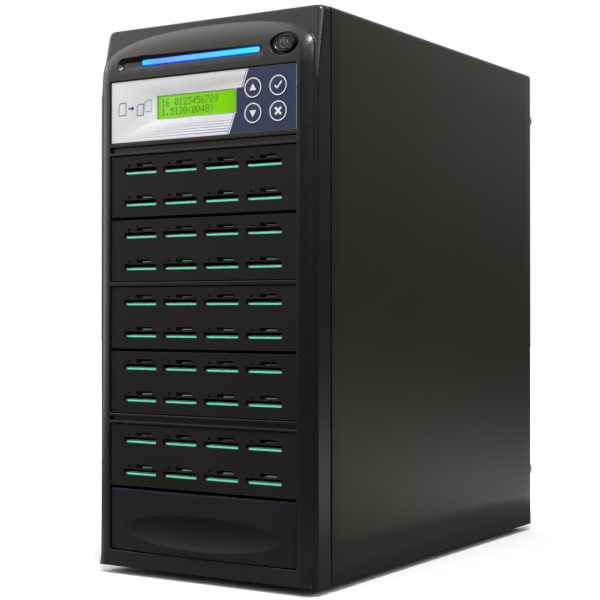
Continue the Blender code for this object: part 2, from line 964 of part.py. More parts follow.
def reader_faceplate_mesh():
    """A reader's front plate about its centre, with eight double slots."""
    shape = panel_plate(panel_y, panel_thickness, 0.0, 0.0)
    y_span = (panel_y - overrun, panel_y + panel_thickness + overrun)
    spans = []
    lamps = []
    for row in (lower_row, upper_row):
        for left in slot_lefts():
            small_left = left + small_slot_inset
            small_low = row + small_slot_lift
            spans.append(((left, left + large_slot_width), y_span,
                          (row, row + large_slot_height)))
            spans.append(((small_left, small_left + small_slot_width), y_span,
                          (small_low, small_low + small_slot_height)))
            lamp = (left + lamp_inset, row + lamp_lift)
            lamps.append(oval(lamp, lamp_radius, lamp_radius, pin_sides))
    shape = cut(shape, blocks(spans))
    shape = cut(shape, prisms(lamps, "Y", y_span[0], y_span[1]))
    return shape


def header_span(level):
    """The plug header at the rear edge of a board."""
    y_span = (board_back_y + header_overhang - header_depth, board_back_y + header_overhang)
    return (about(0.0, header_width), y_span, (level - sink, level + header_height))


def reader_board_mesh():
    """A reader's board about its slot's lower edge, with four pairs of sockets."""
    low = board_rise
    top = low + board_thickness
    large_top = top + large_socket_height
    small_top = large_top + small_socket_height
    shape = block((-board_half, board_half), (tray_y, board_back_y), (low, top))
    large_sockets = []
    small_sockets = []
    mouths = []
    front = tray_y + socket_setback
    chips = []
    for left in slot_lefts():
        centre = left + large_slot_width / 2
        small_centre = left + small_slot_inset + small_slot_width / 2
        large_width = large_slot_width + 2 * large_socket_side
        small_width = small_slot_width + 2 * small_socket_side
        large_sockets.append((about(centre, large_width),
                              (front, front + large_socket_depth), (top - sink, large_top)))
        small_sockets.append((about(small_centre, small_width),
                              (front, front + small_socket_depth), (large_top - sink, small_top)))
        large_low = top + mouth_floor
        small_low = large_top + mouth_floor
        mouth_width = large_slot_width - 2 * large_mouth_inset
        mouths.append((about(centre, mouth_width), (front - sink, front + large_mouth_depth),
                       (large_low, large_low + large_mouth_height)))
        mouth_width = small_slot_width - 2 * small_mouth_inset
        mouths.append((about(small_centre, mouth_width),
                       (front - sink, front + small_mouth_depth),
                       (small_low, small_low + small_mouth_height)))
        chip_y = front + large_socket_depth + chip_size
        chips.append((about(centre, chip_size), about(chip_y, chip_size),
                      (top - sink, top + chip_height)))
    shape = join(shape, blocks(large_sockets))
    shape = join(shape, blocks(small_sockets))
    shape = join(shape, blocks(chips + [header_span(top)]))
    return cut(shape, blocks(mouths))


def tray_mesh(front):
    """A tray about its panel's centre: a floor with two upright sides."""
    outer = tray_half
    inner = tray_half - sheet
    low = -tray_height / 2
    high = tray_height / 2
    outline = [(-outer, low), (outer, low), (outer, high), (inner, high)]
    outline += [(inner, low + sheet), (-inner, low + sheet), (-inner, high), (-outer, high)]
    return prism(outline, "Y", front, board_back_y - tray_setback)


def copy_up(pattern, name, look, z):
    """A named copy of a pattern, raised to its level."""
    obj = bpy.data.objects.new(name, pattern.data.copy())
    bpy.context.scene.collection.objects.link(obj)
    named(obj, name, look)
    obj.location.z = z
    return obj


def make_readers():
    """Five readers: front plate, tray and two boards each, numbered from the top."""
    plate = reader_faceplate_mesh()
    board = reader_board_mesh()
    tray = tray_mesh(tray_y)
    for index, centre in enumerate(reader_centres):
        number = str(index + 1)
        copy_up(plate, "reader_faceplate_" + number, "reader_plastic", centre)
        copy_up(tray, "reader_tray_" + number, "bare_steel", centre)
        copy_up(board, "reader_upper_board_" + number, "board", centre + upper_row)
        copy_up(board, "reader_lower_board_" + number, "board", centre + lower_row)
    for pattern in (plate, board, tray):
        bpy.data.objects.remove(pattern)


def make_control_tray():
    plate_back = control_depths()[2]
    tray = tray_mesh(plate_back + fit_gap)
    named(tray, "control_tray", "bare_steel")
    tray.location.z = control_centre_z


def key_places():
    """The keys by name, with their centres on the control panel."""
    up = control_centre_z + key_up_lift
    down = control_centre_z - key_down_drop
    return {
        "key_up": (key_left, up),
        "key_down": (key_left, down),
        "key_enter": (key_right, up),
        "key_cancel": (key_right, down),
    }


def display_centre():
    return ((display_left + display_right) / 2, control_centre_z + display_lift)


def display_opening(clearance, y0, y1):
    x, z = display_centre()
    return block(about(x, display_width + 2 * clearance), (y0, y1),
                 about(z, display_height + 2 * clearance))


def key_openings(radius, sides, y0, y1):
    outlines = []
    for place in key_places().values():
        outlines.append(oval(place, radius, radius, sides))
    return prisms(outlines, "Y", y0, y1)


def control_depths():
    """The y planes of the control panel, from front to back."""
    overlay_back = panel_y + overlay_thickness
    plate_front = overlay_back + fit_gap
    plate_back = plate_front + panel_thickness
    frame_front = plate_front + display_glass + fit_gap
    display_board = frame_front + display_frame_depth
    return overlay_back, plate_front, plate_back, frame_front, display_board


def key_board_centre():
    x = (key_left + key_right) / 2
    z = control_centre_z + (key_up_lift - key_down_drop) / 2
    return x, z


def key_board_front():
    """Where the key board lies: behind the stems, their travel and the switches."""
    cap_back = panel_y - key_proud + key_cap
    return cap_back + key_stem_length + key_travel + fit_gap + tact_height


def make_control_panel():
    """The printed film and the plate behind it, with bosses for both boards."""
    overlay_back, plate_front, plate_back, frame_front = control_depths()[:4]
    film = block(about(0.0, panel_width), (panel_y, overlay_back),
                 about(control_centre_z, panel_height))
    film = cut(film, display_opening(0.0, panel_y - overrun, overlay_back + overrun))
    film = cut(film, key_openings(key_radius + fit_gap, key_sides, panel_y - overrun,
                                  overlay_back + overrun))
    named(film, "control_overlay", "film")
    plate = block(about(0.0, panel_width), (plate_front, plate_back),
                  about(control_centre_z, panel_height))
    x, z = display_centre()
    frame_width = display_width + 2 * display_frame_side
    frame_room = block(about(x, frame_width + 2 * fit_gap),
                       (frame_front - fit_gap, plate_back + overrun),
                       about(z, display_frame_height + 2 * fit_gap))
    plate = cut(plate, display_opening(fit_gap, plate_front - overrun, plate_back + overrun))
    plate = cut(plate, frame_room)
    seat_back = panel_y - key_proud + key_cap + key_travel + fit_gap
    plate = cut(plate, key_openings(key_radius + fit_gap, key_sides, plate_front - overrun, seat_back))
    plate = cut(plate, key_openings(key_stem_radius + fit_gap, pin_sides, plate_front,
                                    plate_back + overrun))
    named(join_bosses(plate, plate_back), "control_faceplate", "reader_plastic")


def join_bosses(plate, plate_back):
    """Bosses behind the plate, up to the key board."""
    x, z = key_board_centre()
    spread = key_board_size / 2 - boss_radius
    outlines = []
    for side in (-1, 1):
        outlines.append(oval((x, z + side * spread), boss_radius, boss_radius, pin_sides))
    end = key_board_front() - fit_gap
    return join(plate, prisms(outlines, "Y", plate_back - sink, end))


def make_keys():
    """Four round keys, each a cap with a stem through the plate."""
    front = panel_y - key_proud
    for name, place in key_places().items():
        back = front + key_cap
        profile = [(key_radius - key_proud, front), (key_radius, front + key_proud), (key_radius, back)]
        shape = turned(profile, "Y", place, key_sides)
        stem = turned([(key_stem_radius, back - sink), (key_stem_radius, back + key_stem_length)],
                      "Y", place, pin_sides)
        shape = join(shape, stem)
        named(shape, name, "key_film", (place[0], front, place[1]), smooth=True)


def make_key_board():
    """A small board with four push switches under the keys."""
    x, z = key_board_centre()
    front = key_board_front()
    board = block(about(x, key_board_size), (front, front + board_thickness),
                  about(z, key_board_size))
    switches = []
    for place in key_places().values():
        switches.append((about(place[0], tact_size), (front - tact_height, front + sink),
                         about(place[1], tact_size)))
    named(join(board, blocks(switches)), "keypad_board", "dark_board")


def make_display():
    """The display's glass, its metal frame and its board."""
    plate_front = control_depths()[1]
    frame_front, display_board = control_depths()[3:]
    x, z = display_centre()
    glass = block(about(x, display_width), (plate_front, plate_front + display_glass),
                  about(z, display_height))
    named(glass, "display_glass", "display")
    frame_width = display_width + 2 * display_frame_side
    frame = block(about(x, frame_width), (frame_front, display_board + sink),
                  about(z, display_frame_height))
    board = block(about(x, display_width + 2 * display_board_side),
                  (display_board, display_board + board_thickness),
                  about(control_centre_z, panel_height - 2 * display_board_margin))
    named(join(frame, board), "display_module", "dark_board")


def make_controller_board():
    """The main board on the control tray, with its chips and header."""
    low = control_board_low
    top = low + board_thickness
    front = tray_y + control_board_setback
    board = block((-board_half, board_half), (front, board_back_y), (low, top))
    parts = [header_span(top)]
    for side in (-column_pitch, column_pitch):
        parts.append((about(side, control_chip_size), about(front + column_pitch, control_chip_size),
                      (top - sink, top + chip_height)))
    named(join(board, blocks(parts)), "controller_board", "dark_board")


def plug_levels():
    """The mid heights of all headers on the ribbon, from the bottom up."""
    middle = board_thickness + header_height / 2
    levels = []
    for centre in reversed(reader_centres):
        levels.append(centre + lower_row + board_rise + middle)
        levels.append(centre + upper_row + board_rise + middle)
    levels.append(control_board_low + middle)
    return levels


def make_ribbon():
    """A flat cable down the back of the boards, with a plug at each header."""
    levels = plug_levels()
    plug_back = plug_y + plug_depth
    strip = block(about(0.0, ribbon_width), (plug_back - sink, plug_back + ribbon_thickness),
                  (levels[0] - plug_height / 2, levels[-1] + plug_height / 2))
    plugs = []
    for z in levels:
        plugs.append((about(0.0, header_width), (plug_y, plug_back), about(z, plug_height)))
    named(join(strip, blocks(plugs)), "ribbon_cable", "ribbon")


def supply_opening(centre, width, height):
    """A cutter through the rear wall of the power supply."""
    return block(about(centre[0], width), (supply_back_y - supply_wall - overrun,
                                           supply_back_y + overrun), about(centre[1], height))


def make_supply_case():
    """The power supply's steel box, vented in front and behind."""
    half = supply_width / 2
    shape = block((-half, half), (supply_front_y, supply_back_y), (supply_bottom, supply_top))
    shape = cut(shape, block((supply_wall - half, half - supply_wall),
                             (supply_front_y + supply_wall, supply_back_y - supply_wall),
                             (supply_bottom + supply_wall, supply_top - supply_wall)))
    grille = grille_holes((supply_fan_side, supply_centre_z),
                          supply_back_y - supply_wall - overrun, supply_back_y + overrun)
    shape = cut(shape, grille)
    inlet = supply_opening((inlet_side, supply_centre_z), inlet_width + 2 * fit_gap,
                           inlet_height + 2 * fit_gap)
    shape = cut(shape, inlet)
    vents = []
    vent_count = round((supply_width - 2 * vent_margin) / vent_pitch)
    for i in range(vent_count):
        centre = (i - (vent_count - 1) / 2) * vent_pitch
        vents.append((about(centre, vent_width),
                      (supply_front_y - overrun, supply_front_y + supply_wall + overrun),
                      about(supply_centre_z, vent_height)))
    shape = cut(shape, blocks(vents))
    named(shape, "psu_case", "bare_steel")


def make_supply_board():
    """The power supply's board with its transformer and two heat sinks."""
    half = supply_width / 2 - supply_wall - fit_gap
    low = supply_bottom + supply_wall + supply_board_rise
    top = low + board_thickness
    front = supply_front_y + supply_wall + fit_gap
    back = supply_back_y - supply_wall - fan_depth - 3 * fit_gap
    board = block((-half, half), (front, back), (low, top))
    middle = (front + back) / 2
    depth = back - front
    parts = [(about(0.0, coil_size), about(middle, coil_size), (top - sink, top + coil_height))]
    for side in (-1, 1):
        parts.append((about(side * sink_spread / 2, sink_thickness),
                      about(middle, depth * sink_depth_share), (top - sink, top + sink_height)))
    named(join(board, blocks(parts)), "psu_board", "dark_board")


def socket_outline():
    """The inlet's opening: a rectangle with its two lower corners cut off."""
    x0, x1 = about(inlet_side, socket_width)
    z0, z1 = about(supply_centre_z - socket_drop, socket_height)
    chamfer = socket_chamfer
    return [(x0 + chamfer, z0), (x1 - chamfer, z0), (x1, z0 + chamfer), (x1, z1), (x0, z1),
            (x0, z0 + chamfer)]


def rocker_pivot():
    return (inlet_side, supply_back_y - rocker_inside, supply_centre_z + rocker_lift)


def make_inlet():
    """The mains inlet: a rim, a body with the socket, its pins and the rocker's well."""
    centre = (inlet_side, supply_centre_z)
    rim_front = supply_back_y + fit_gap
    rim_back = rim_front + inlet_rim_depth
    shape = block(about(centre[0], inlet_width), (supply_back_y - inlet_depth, rim_front + sink),
                  about(centre[1], inlet_height))
    rim = block(about(centre[0], inlet_width + 2 * inlet_rim), (rim_front, rim_back),
                about(centre[1], inlet_height + 2 * inlet_rim))
    shape = join(shape, rim)
    floor = rim_back - socket_depth
    shape = cut(shape, prism(socket_outline(), "Y", floor, rim_back + overrun))
    low = supply_centre_z - socket_drop - pin_shift
    high = supply_centre_z - socket_drop + pin_shift
    pins = []
    for x, z in ((-pin_spread, low), (0.0, high), (pin_spread, low)):
        pins.append((about(inlet_side + x, pin_width), (floor - sink, floor + pin_length),
                     about(z, pin_height)))
    shape = join(shape, blocks(pins))
    x, y, z = rocker_pivot()
    radius = rocker_radius + fit_gap
    well_floor = y - radius
    well = block(about(x, rocker_width + 2 * fit_gap), (well_floor, rim_back + overrun),
                 about(z, 2 * radius))
    shape = cut(shape, well)
    reach = rocker_width / 2 + rocker_pin_length + fit_gap
    bearing_radius = rocker_pin_radius + fit_gap
    bearing = turned([(bearing_radius, x - reach), (bearing_radius, x + reach)],
                     "X", (y, z), shaft_sides)
    shape = cut(shape, bearing)
    named(shape, "psu_inlet", "fan_plastic")


def make_rocker():
    """The rocker switch, tilted to its off side, turning on two pins."""
    x, y, z = rocker_pivot()
    tilt = rocker_half_angle
    outline = []
    for step in range(rocker_steps):
        angle = rocker_first_angle + step * rocker_angle_step
        outline.append((rocker_radius * math.cos(angle), rocker_radius * math.sin(angle)))
    lower = [(u, -v) for u, v in reversed(outline)]
    outline = outline + lower + [(rocker_front, 0.0)]
    turned_outline = []
    for u, v in outline:
        yy = y + u * math.cos(tilt) - v * math.sin(tilt)
        zz = z + u * math.sin(tilt) + v * math.cos(tilt)
        turned_outline.append((yy, zz))
    half = rocker_width / 2
    shape = prism(turned_outline, "X", x - half, x + half)
    reach = half + rocker_pin_length
    pin = turned([(rocker_pin_radius, x - reach), (rocker_pin_radius, x + reach)],
                 "X", (y, z), shaft_sides)
    shape = join(shape, pin)
    named(shape, "psu_switch", "button_plastic", (x, y, z))


def make_fan_frame(name, centre, back):
    """A square frame with a round bore, four arms, a plate and the bearing."""
    x, z = centre
    front = back - fan_depth
    shape = block(about(x, fan_size), (front, back), about(z, fan_size))
    bore = oval(centre, fan_bore, fan_bore, bore_sides)
    shape = cut(shape, prism(bore, "Y", front - overrun, back + overrun))
    corner = fan_size / 2 - fan_corner - screw_radius
    holes = []
    for side in (-1, 1):
        for end in (-1, 1):
            place = (x + side * corner, z + end * corner)
            holes.append(oval(place, screw_radius, screw_radius, pin_sides))
    shape = cut(shape, prisms(holes, "Y", front - overrun, back + overrun))
    plate_front = back - fan_plate
    arms = [(about(x, 2 * fan_bore + 2 * sink), (plate_front, back), about(z, fan_arm))]
    shape = join(shape, blocks(arms))
    arms = [(about(x, fan_arm), (plate_front, back), about(z, 2 * fan_bore + 2 * sink))]
    shape = join(shape, blocks(arms))
    stator_front = plate_front - fan_stator_depth
    hub = turned([(fan_stator, stator_front), (fan_stator, plate_front),
                  (fan_hub, plate_front), (fan_hub, back)], "Y", centre, key_sides)
    shape = join(shape, hub)
    bearing = fan_shaft + fit_gap
    hole = turned([(bearing, stator_front - overrun), (bearing, back - fan_shaft_wall)],
                  "Y", centre, shaft_sides)
    shape = cut(shape, hole)
    named(shape, name, "fan_plastic", smooth=True)


def blade(centre, hub_y, turn):
    """One fan blade: thin sections from the hub to the tip, twisting on the way."""
    tip = fan_bore - fan_tip_gap
    root = fan_hub - sink
    rings = []
    for share in blade_shares:
        radius = root + (tip - root) * share
        pitch = blade_root_angle + (blade_tip_angle - blade_root_angle) * share
        ring = []
        for along, thick in ((-0.5, -0.5), (0.5, -0.5), (0.5, 0.5), (-0.5, 0.5)):
            a = along * blade_chord
            b = thick * blade_thickness
            side = a * math.cos(pitch) - b * math.sin(pitch)
            depth = a * math.sin(pitch) + b * math.cos(pitch)
            reach = math.sqrt(radius * radius - side * side)
            u = centre[0] + reach * math.cos(turn) - side * math.sin(turn)
            v = centre[1] + reach * math.sin(turn) + side * math.cos(turn)
            ring.append((u, hub_y + depth, v))
        rings.append(ring)
    return loft(rings)


def make_fan_rotor(name, centre, back):
    """The rotor: a cup over the bearing, its shaft, and the blades round it."""
    cup_back = back - fan_plate - fan_end_gap
    cup_front = cup_back - fan_hub_depth
    inside = cup_front + fan_hub_wall
    shape = turned([(fan_hub, cup_front), (fan_hub, cup_back)], "Y", centre, key_sides)
    hollow = turned([(fan_hub - fan_hub_wall, inside), (fan_hub - fan_hub_wall, cup_back + overrun)],
                    "Y", centre, key_sides)
    shape = cut(shape, hollow)
    shaft_end = back - fan_shaft_wall - fit_gap
    shaft = turned([(fan_shaft, inside - sink), (fan_shaft, shaft_end)], "Y", centre, shaft_sides)
    shape = join(shape, shaft)
    middle = (cup_front + cup_back) / 2
    for i in range(fan_blades):
        shape = join(shape, blade(centre, middle, 2 * math.pi * i / fan_blades))
    named(shape, name, "fan_plastic", (centre[0], middle, centre[1]), smooth=True)


def make_fans():
    """The rear fan and the power supply's own fan."""
    rear = ((0.0, rear_fan_z), rear_panel_y - fit_gap)
    inside = ((supply_fan_side, supply_centre_z), supply_back_y - supply_wall - fit_gap)
    for prefix, (centre, back) in (("rear", rear), ("psu", inside)):
        make_fan_frame(prefix + "_fan_frame", centre, back)
        make_fan_rotor(prefix + "_fan_rotor", centre, back)


def make_thumbscrews():
    """Four thumbscrews through the cover's flange and the rear panel."""
    head_front = rear_y + fit_gap
    head_back = head_front + screw_head_height
    tip = head_front - screw_length
    for index, place in enumerate(screw_places()):
        shape = turned([(screw_radius, tip), (screw_radius, head_front),
                        (screw_head_radius - screw_edge, head_front),
                        (screw_head_radius, head_front + screw_edge),
                        (screw_head_radius, head_back - screw_edge),
                        (screw_head_radius - screw_edge, head_back)], "Y", place, shaft_sides)
        named(shape, "thumbscrew_" + str(index + 1), "screw_steel", smooth=True)


def main():
    clear_scene()
    make_chassis_base()
    make_cover()
    make_front_frame()
    make_bay_wall("bay_wall_left", -1)
    make_bay_wall("bay_wall_right", 1)
    make_rear_panel()
    make_feet()
    make_bezel()
    make_light()
    make_power_button()
    make_lower_cover()
    make_readers()
    make_control_panel()
    make_control_tray()
    make_keys()
    make_key_board()
    make_display()
    make_controller_board()
    make_ribbon()
    make_supply_case()
    make_supply_board()
    make_inlet()
    make_rocker()
    make_fans()
    make_thumbscrews()


main()
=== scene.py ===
"""Looks of the memory card duplicator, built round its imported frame.

Lengths are in metres: +X is the viewer's right, -Y the front and +Z up. Each
piece takes its place from the node that it stands for.
"""
import math

import bmesh
import bpy
import numpy as np
from mathutils import Matrix, Vector
from mathutils.geometry import tessellate_polygon


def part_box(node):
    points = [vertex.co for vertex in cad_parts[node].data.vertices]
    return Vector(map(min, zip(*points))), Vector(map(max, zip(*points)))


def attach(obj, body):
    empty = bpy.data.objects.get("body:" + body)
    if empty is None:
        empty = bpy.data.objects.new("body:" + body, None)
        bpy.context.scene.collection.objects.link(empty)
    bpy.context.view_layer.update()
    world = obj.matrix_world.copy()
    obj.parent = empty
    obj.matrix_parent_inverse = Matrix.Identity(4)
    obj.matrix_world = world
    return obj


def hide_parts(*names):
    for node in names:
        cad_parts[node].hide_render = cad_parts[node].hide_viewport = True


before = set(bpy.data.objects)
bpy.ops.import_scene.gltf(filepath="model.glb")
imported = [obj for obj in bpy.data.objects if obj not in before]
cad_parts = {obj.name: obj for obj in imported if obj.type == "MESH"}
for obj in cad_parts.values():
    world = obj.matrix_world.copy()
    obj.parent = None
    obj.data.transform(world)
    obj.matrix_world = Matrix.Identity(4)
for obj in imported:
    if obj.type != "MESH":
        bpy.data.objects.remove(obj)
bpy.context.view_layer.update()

mm = 0.001
quarter_turn = math.pi / 2

# The moulded front, as its node has it.
bezel_low, bezel_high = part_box("front_bezel")
face_y = bezel_low[1]
half_width = bezel_high[0]
case_bottom = bezel_low[2]
case_top = bezel_high[2]
bezel_back = bezel_high[1]
seam_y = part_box("cover")[0][1]
rear_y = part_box("cover")[1][1]
film_low, film_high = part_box("control_overlay")
control_top = film_high[2]
control_z = (film_low[2] + film_high[2]) / 2
panel_half = film_high[0]
panel_y = film_low[1]
bar_low, bar_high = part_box("light_bar")
light_z = (bar_low[2] + bar_high[2]) / 2
button_low, button_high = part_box("power_button")
button_x = (button_low[0] + button_high[0]) / 2
button_z = (button_low[2] + button_high[2]) / 2

fit_gap = 0.3 * mm
overrun = 2 * mm
let_in = 0.2 * mm
hair = 0.01 * mm
least_radius = 0.02 * mm
sheet = 1 * mm
window_gap = 0.6 * mm
window_corner = 0.7 * mm
bezel_wall = 2.5 * mm
shield_proud = 5 * mm
shield_margin = 2.5 * mm
shield_half = half_width - shield_margin
shield_clear = 0.4 * mm
shield_lean = 4.5 * mm
arch_lift = 4.6 * mm
arch_margin = 5.5 * mm
arch_top = case_top - arch_margin
arch_spring = control_top + arch_lift
arch_width_power = 0.85
arch_height_power = 0.66
visor_drop = 9.4 * mm
visor_start = control_top - visor_drop
visor_recede = 7.2 * mm
pocket_depth = 4.5 * mm
post_radius = 2.6 * mm
cap_half_width = 7.6 * mm
cap_half_height = 5.4 * mm
moat_half_width = 10.5 * mm
moat_half_height = 7.5 * mm

# Rounded edges of the moulding.
body_corner = 1.4 * mm
crown_corner = 4.5 * mm
top_corner = 4 * mm
top_front_edge = 1 * mm
top_fall = 0.8 * mm
bottom_edge = 0.9 * mm
column_roll = 9 * mm
column_drop = 4 * mm
foot_roll = 1.2 * mm
foot_drop = 1.2 * mm
foot_blend = 14 * mm
arch_roll = 16 * mm
arch_drop = 5.6 * mm
shield_flare = 0.9 * mm
window_edge = 0.35 * mm
recess_edge = 0.8 * mm
rim_lead = 0.4 * mm
rim_ahead = 0.1 * mm

# Card slots in a reader panel, from the lower left corner of a slot.
column_pitch = 33 * mm
slot_width = 27 * mm
slot_height = 4 * mm
row_levels = {"lower": -13.2 * mm, "upper": 8.1 * mm}
small_slot_width = 12.8 * mm
small_slot_height = 2.4 * mm
small_slot_lift = 4.9 * mm
small_slot_inset = 10.6 * mm
lamp_radius = 0.75 * mm
lamp_inset = 4.3 * mm
lamp_lift = 5.9 * mm

# Reader boards. A socket is its width, depth and height.
board_thickness = 1.6 * mm
board_lift = 0.3 * mm
chip_sink = 0.1 * mm
socket_setback = 0.5 * mm
shell_wall = 0.25 * mm
shell_corner = 0.5 * mm
shell_edge = 0.1 * mm
socket_block = 1.5 * mm
wide_socket = (28.5 * mm, 29 * mm, 2.9 * mm)
narrow_socket = (14.2 * mm, 15.5 * mm, 2.6 * mm)

# Pieces seen in a slot, each from a slot's lower left corner in x and z. Their depths
# run from the plate's face to the tray's front.
tongue = mm * np.array(((1.9, 26.8), (1.1, 0.6), (0.05, 1.15)))
contact = mm * np.array(((1.0, 2.3), (0.9, 0.5), (0.1, 1.35)))
lip = mm * np.array(((4.2, 12.0), (1.3, 0.6), (0.5, 1.15)))

# Chips behind each slot: width, length, height and distance from the tray's front.
slot_chips = mm * np.array(((14.0, 14.0, 1.4, 44.0), (3.0, 5.0, 1.0, 60.0)))

# Print: how far it stands out of a surface and goes into it, and its rounded edge.
print_lift = 0.05 * mm
print_root = 0.03 * mm
print_edge = 0.02 * mm


def link(obj):
    """Put an object in the scene."""
    bpy.context.scene.collection.objects.link(obj)
    return obj


def shape(points, faces):
    """An object from points and faces, with its faces turned outwards."""
    mesh = bpy.data.meshes.new("shape")
    mesh.from_pydata(np.asarray(points).reshape(-1, 3).tolist(), [], faces)
    bm = bmesh.new()
    bm.from_mesh(mesh)
    bmesh.ops.recalc_face_normals(bm, faces=bm.faces)
    bm.to_mesh(mesh)
    bm.free()
    return link(bpy.data.objects.new("shape", mesh))


def ring_faces(rows, columns):
    """Quads between neighbouring closed rings: (r, c), (r, c+1), (r+1, c+1), (r+1, c)."""
    r, c = np.meshgrid(np.arange(rows - 1), np.arange(columns), indexing="ij")
    after = (c + 1) % columns
    quads = (r * columns + c, r * columns + after, (r + 1) * columns + after, (r + 1) * columns + c)
    return np.stack(quads, axis=-1).reshape(-1, 4).tolist()


def grid_faces(rows, columns):
    """Quads of an open grid of points."""
    r, c = np.meshgrid(np.arange(rows - 1), np.arange(columns - 1), indexing="ij")
    first = r * columns + c
    quads = (first, first + 1, first + columns + 1, first + columns)
    return np.stack(quads, axis=-1).reshape(-1, 4).tolist()


def skin(rings):
    """A closed solid: rings joined in turn, with a cap on the first and the last."""
    rows, columns = rings.shape[:2]
    faces = ring_faces(rows, columns)
    faces.append(list(range(columns)))
    faces.append(list(range((rows - 1) * columns, rows * columns)))
    return shape(rings, faces)


def upright(outline, y):
    """Points (x, z) of an outline set at depth y, one depth or one for each point."""
    depths = np.broadcast_to(y, outline.shape[:1])
    return np.stack((outline[:, 0], depths, outline[:, 1]), axis=-1)


def rounded_box(x0, x1, z0, z1, radius, steps=4):
    """Outline of a rectangle with quarter-circle corners. Growing it by g moves
    each side out by g and makes each corner's radius r + g."""
    turn = np.linspace(0, quarter_turn, steps + 1)
    corners = np.array([(x1, z0), (x1, z1), (x0, z1), (x0, z0)])
    signs = np.array([(1, -1), (1, 1), (-1, 1), (-1, -1)])
    starts = quarter_turn * np.arange(-1, 3)

    def outline(grow):
        r = max(radius + grow, least_radius)
        angle = starts[:, None] + turn
        arc = r * np.stack((np.cos(angle), np.sin(angle)), axis=-1)
        return ((corners + signs * (grow - r))[:, None] + arc).reshape(-1, 2)

    return outline


def oval(x, z, wide, high, sides=56):
    """Outline of an ellipse: centre + (a + g) cos t, (b + g) sin t."""
    angle = 2 * math.pi * (np.arange(sides) + 0.5) / sides

    def outline(grow):
        return np.stack((x + (wide + grow) * np.cos(angle), z + (high + grow) * np.sin(angle)), axis=-1)

    return outline


def polygon(points):
    """Outline through corners given anticlockwise. Growing it moves each side
    along its normal, so a corner moves by g (n1 + n2) / (1 + n1 . n2)."""
    corners = np.array(points, float)
    ahead = np.roll(corners, -1, axis=0) - corners
    after = np.stack((ahead[:, 1], -ahead[:, 0]), axis=-1)
    after /= np.linalg.norm(after, axis=1, keepdims=True)
    before = np.roll(after, 1, axis=0)
    mitre = (before + after) / (1 + (before * after).sum(axis=1, keepdims=True))

    def outline(grow):
        return corners + grow * mitre

    return outline


def arc_slot(x, z, inner, outer, start, sweep, steps=10):
    """Outline of a curved slot between two radii about a centre."""
    angle = start + sweep * np.linspace(0, 1, steps + 1)
    out = outer * np.stack((np.cos(angle), np.sin(angle)), axis=-1)
    back = inner * np.stack((np.cos(angle[::-1]), np.sin(angle[::-1])), axis=-1)
    return polygon(np.concatenate((out, back)) + np.array((x, z)))


def slab(outlines, front, back, edge=0.3 * mm, steps=3):
    """A plate, its first outline outside and the others holes. Each outline goes
    round a quarter circle at the front face and straight to the back:
    inset e (1 - sin t), depth e (1 - cos t)."""
    turn = np.linspace(0, quarter_turn, steps + 1)
    inset = np.append(edge * (1 - np.sin(turn)), 0.0)
    level = np.append(front + edge * (1 - np.cos(turn)), back)
    points = []
    faces = []
    front_loops = []
    back_loops = []
    for index, outline in enumerate(outlines):
        side = -1 if index == 0 else 1
        rings = np.array([upright(outline(side * g), y) for g, y in zip(inset, level)])
        start = sum(len(part) for part in points)
        rows, columns = rings.shape[:2]
        points.append(rings.reshape(-1, 3))
        faces += (np.array(ring_faces(rows, columns)) + start).tolist()
        front_loops.append((rings[0], np.arange(columns) + start))
        back_loops.append((rings[-1], np.arange(columns) + start + (rows - 1) * columns))
    for loops in (front_loops, back_loops):
        numbers = np.concatenate([number for _, number in loops])
        lines = [[Vector((p[0], p[2], 0.0)) for p in ring] for ring, _ in loops]
        faces += numbers[np.array(tessellate_polygon(lines))].tolist()
    return shape(np.concatenate(points), faces)


def turned(profile, x, z, sides=64, axis="Y"):
    """A solid of revolution: each (radius, place along the axis) pair is a ring."""
    radius, along = np.array(profile, float).T
    angle = 2 * math.pi * (np.arange(sides) + 0.5) / sides
    u = x + radius[:, None] * np.cos(angle)
    v = z + radius[:, None] * np.sin(angle)
    w = np.broadcast_to(along[:, None], u.shape)
    return skin(np.stack((u, w, v) if axis == "Y" else (u, v, w), axis=-1))


def blocks(spans):
    """Closed boxes, each from its x, y and z spans."""
    spans = np.array(spans, float)
    pick = np.array([(0, 0, 0), (1, 0, 0), (1, 1, 0), (0, 1, 0), (0, 0, 1), (1, 0, 1), (1, 1, 1), (0, 1, 1)])
    low = spans[:, None, :, 0]
    points = low + pick * (spans[:, None, :, 1] - low)
    sides = np.array([(0, 3, 2, 1), (4, 5, 6, 7), (0, 1, 5, 4), (1, 2, 6, 5), (2, 3, 7, 6), (3, 0, 4, 7)])
    faces = sides + 8 * np.arange(len(spans))[:, None, None]
    return shape(points, faces.reshape(-1, 4).tolist())


def about(centre, size):
    """The span of a size about its centre."""
    return (centre - size / 2, centre + size / 2)


def carve(base, tool, operation="DIFFERENCE"):
    """Cut a tool's shape out of a base, or join it on, and drop the tool."""
    step = base.modifiers.new("step", "BOOLEAN")
    step.operation = operation
    step.solver = "EXACT"
    step.object = tool
    graph = bpy.context.evaluated_depsgraph_get()
    result = bpy.data.meshes.new_from_object(base.evaluated_get(graph))
    base.modifiers.clear()
    base.data = result
    bpy.data.objects.remove(tool)
    return base


def gather(parts):
    """One object from (shape, finish) pairs, each shape keeping its own finish."""
    bm = bmesh.new()
    merged = bpy.data.meshes.new("gathered")
    for index, (part, look) in enumerate(parts):
        part.data.polygons.foreach_set("material_index", np.full(len(part.data.polygons), index, np.int32))
        bm.from_mesh(part.data)
        merged.materials.append(look)
        bpy.data.objects.remove(part)
    bm.to_mesh(merged)
    bm.free()
    return link(bpy.data.objects.new("gathered", merged))


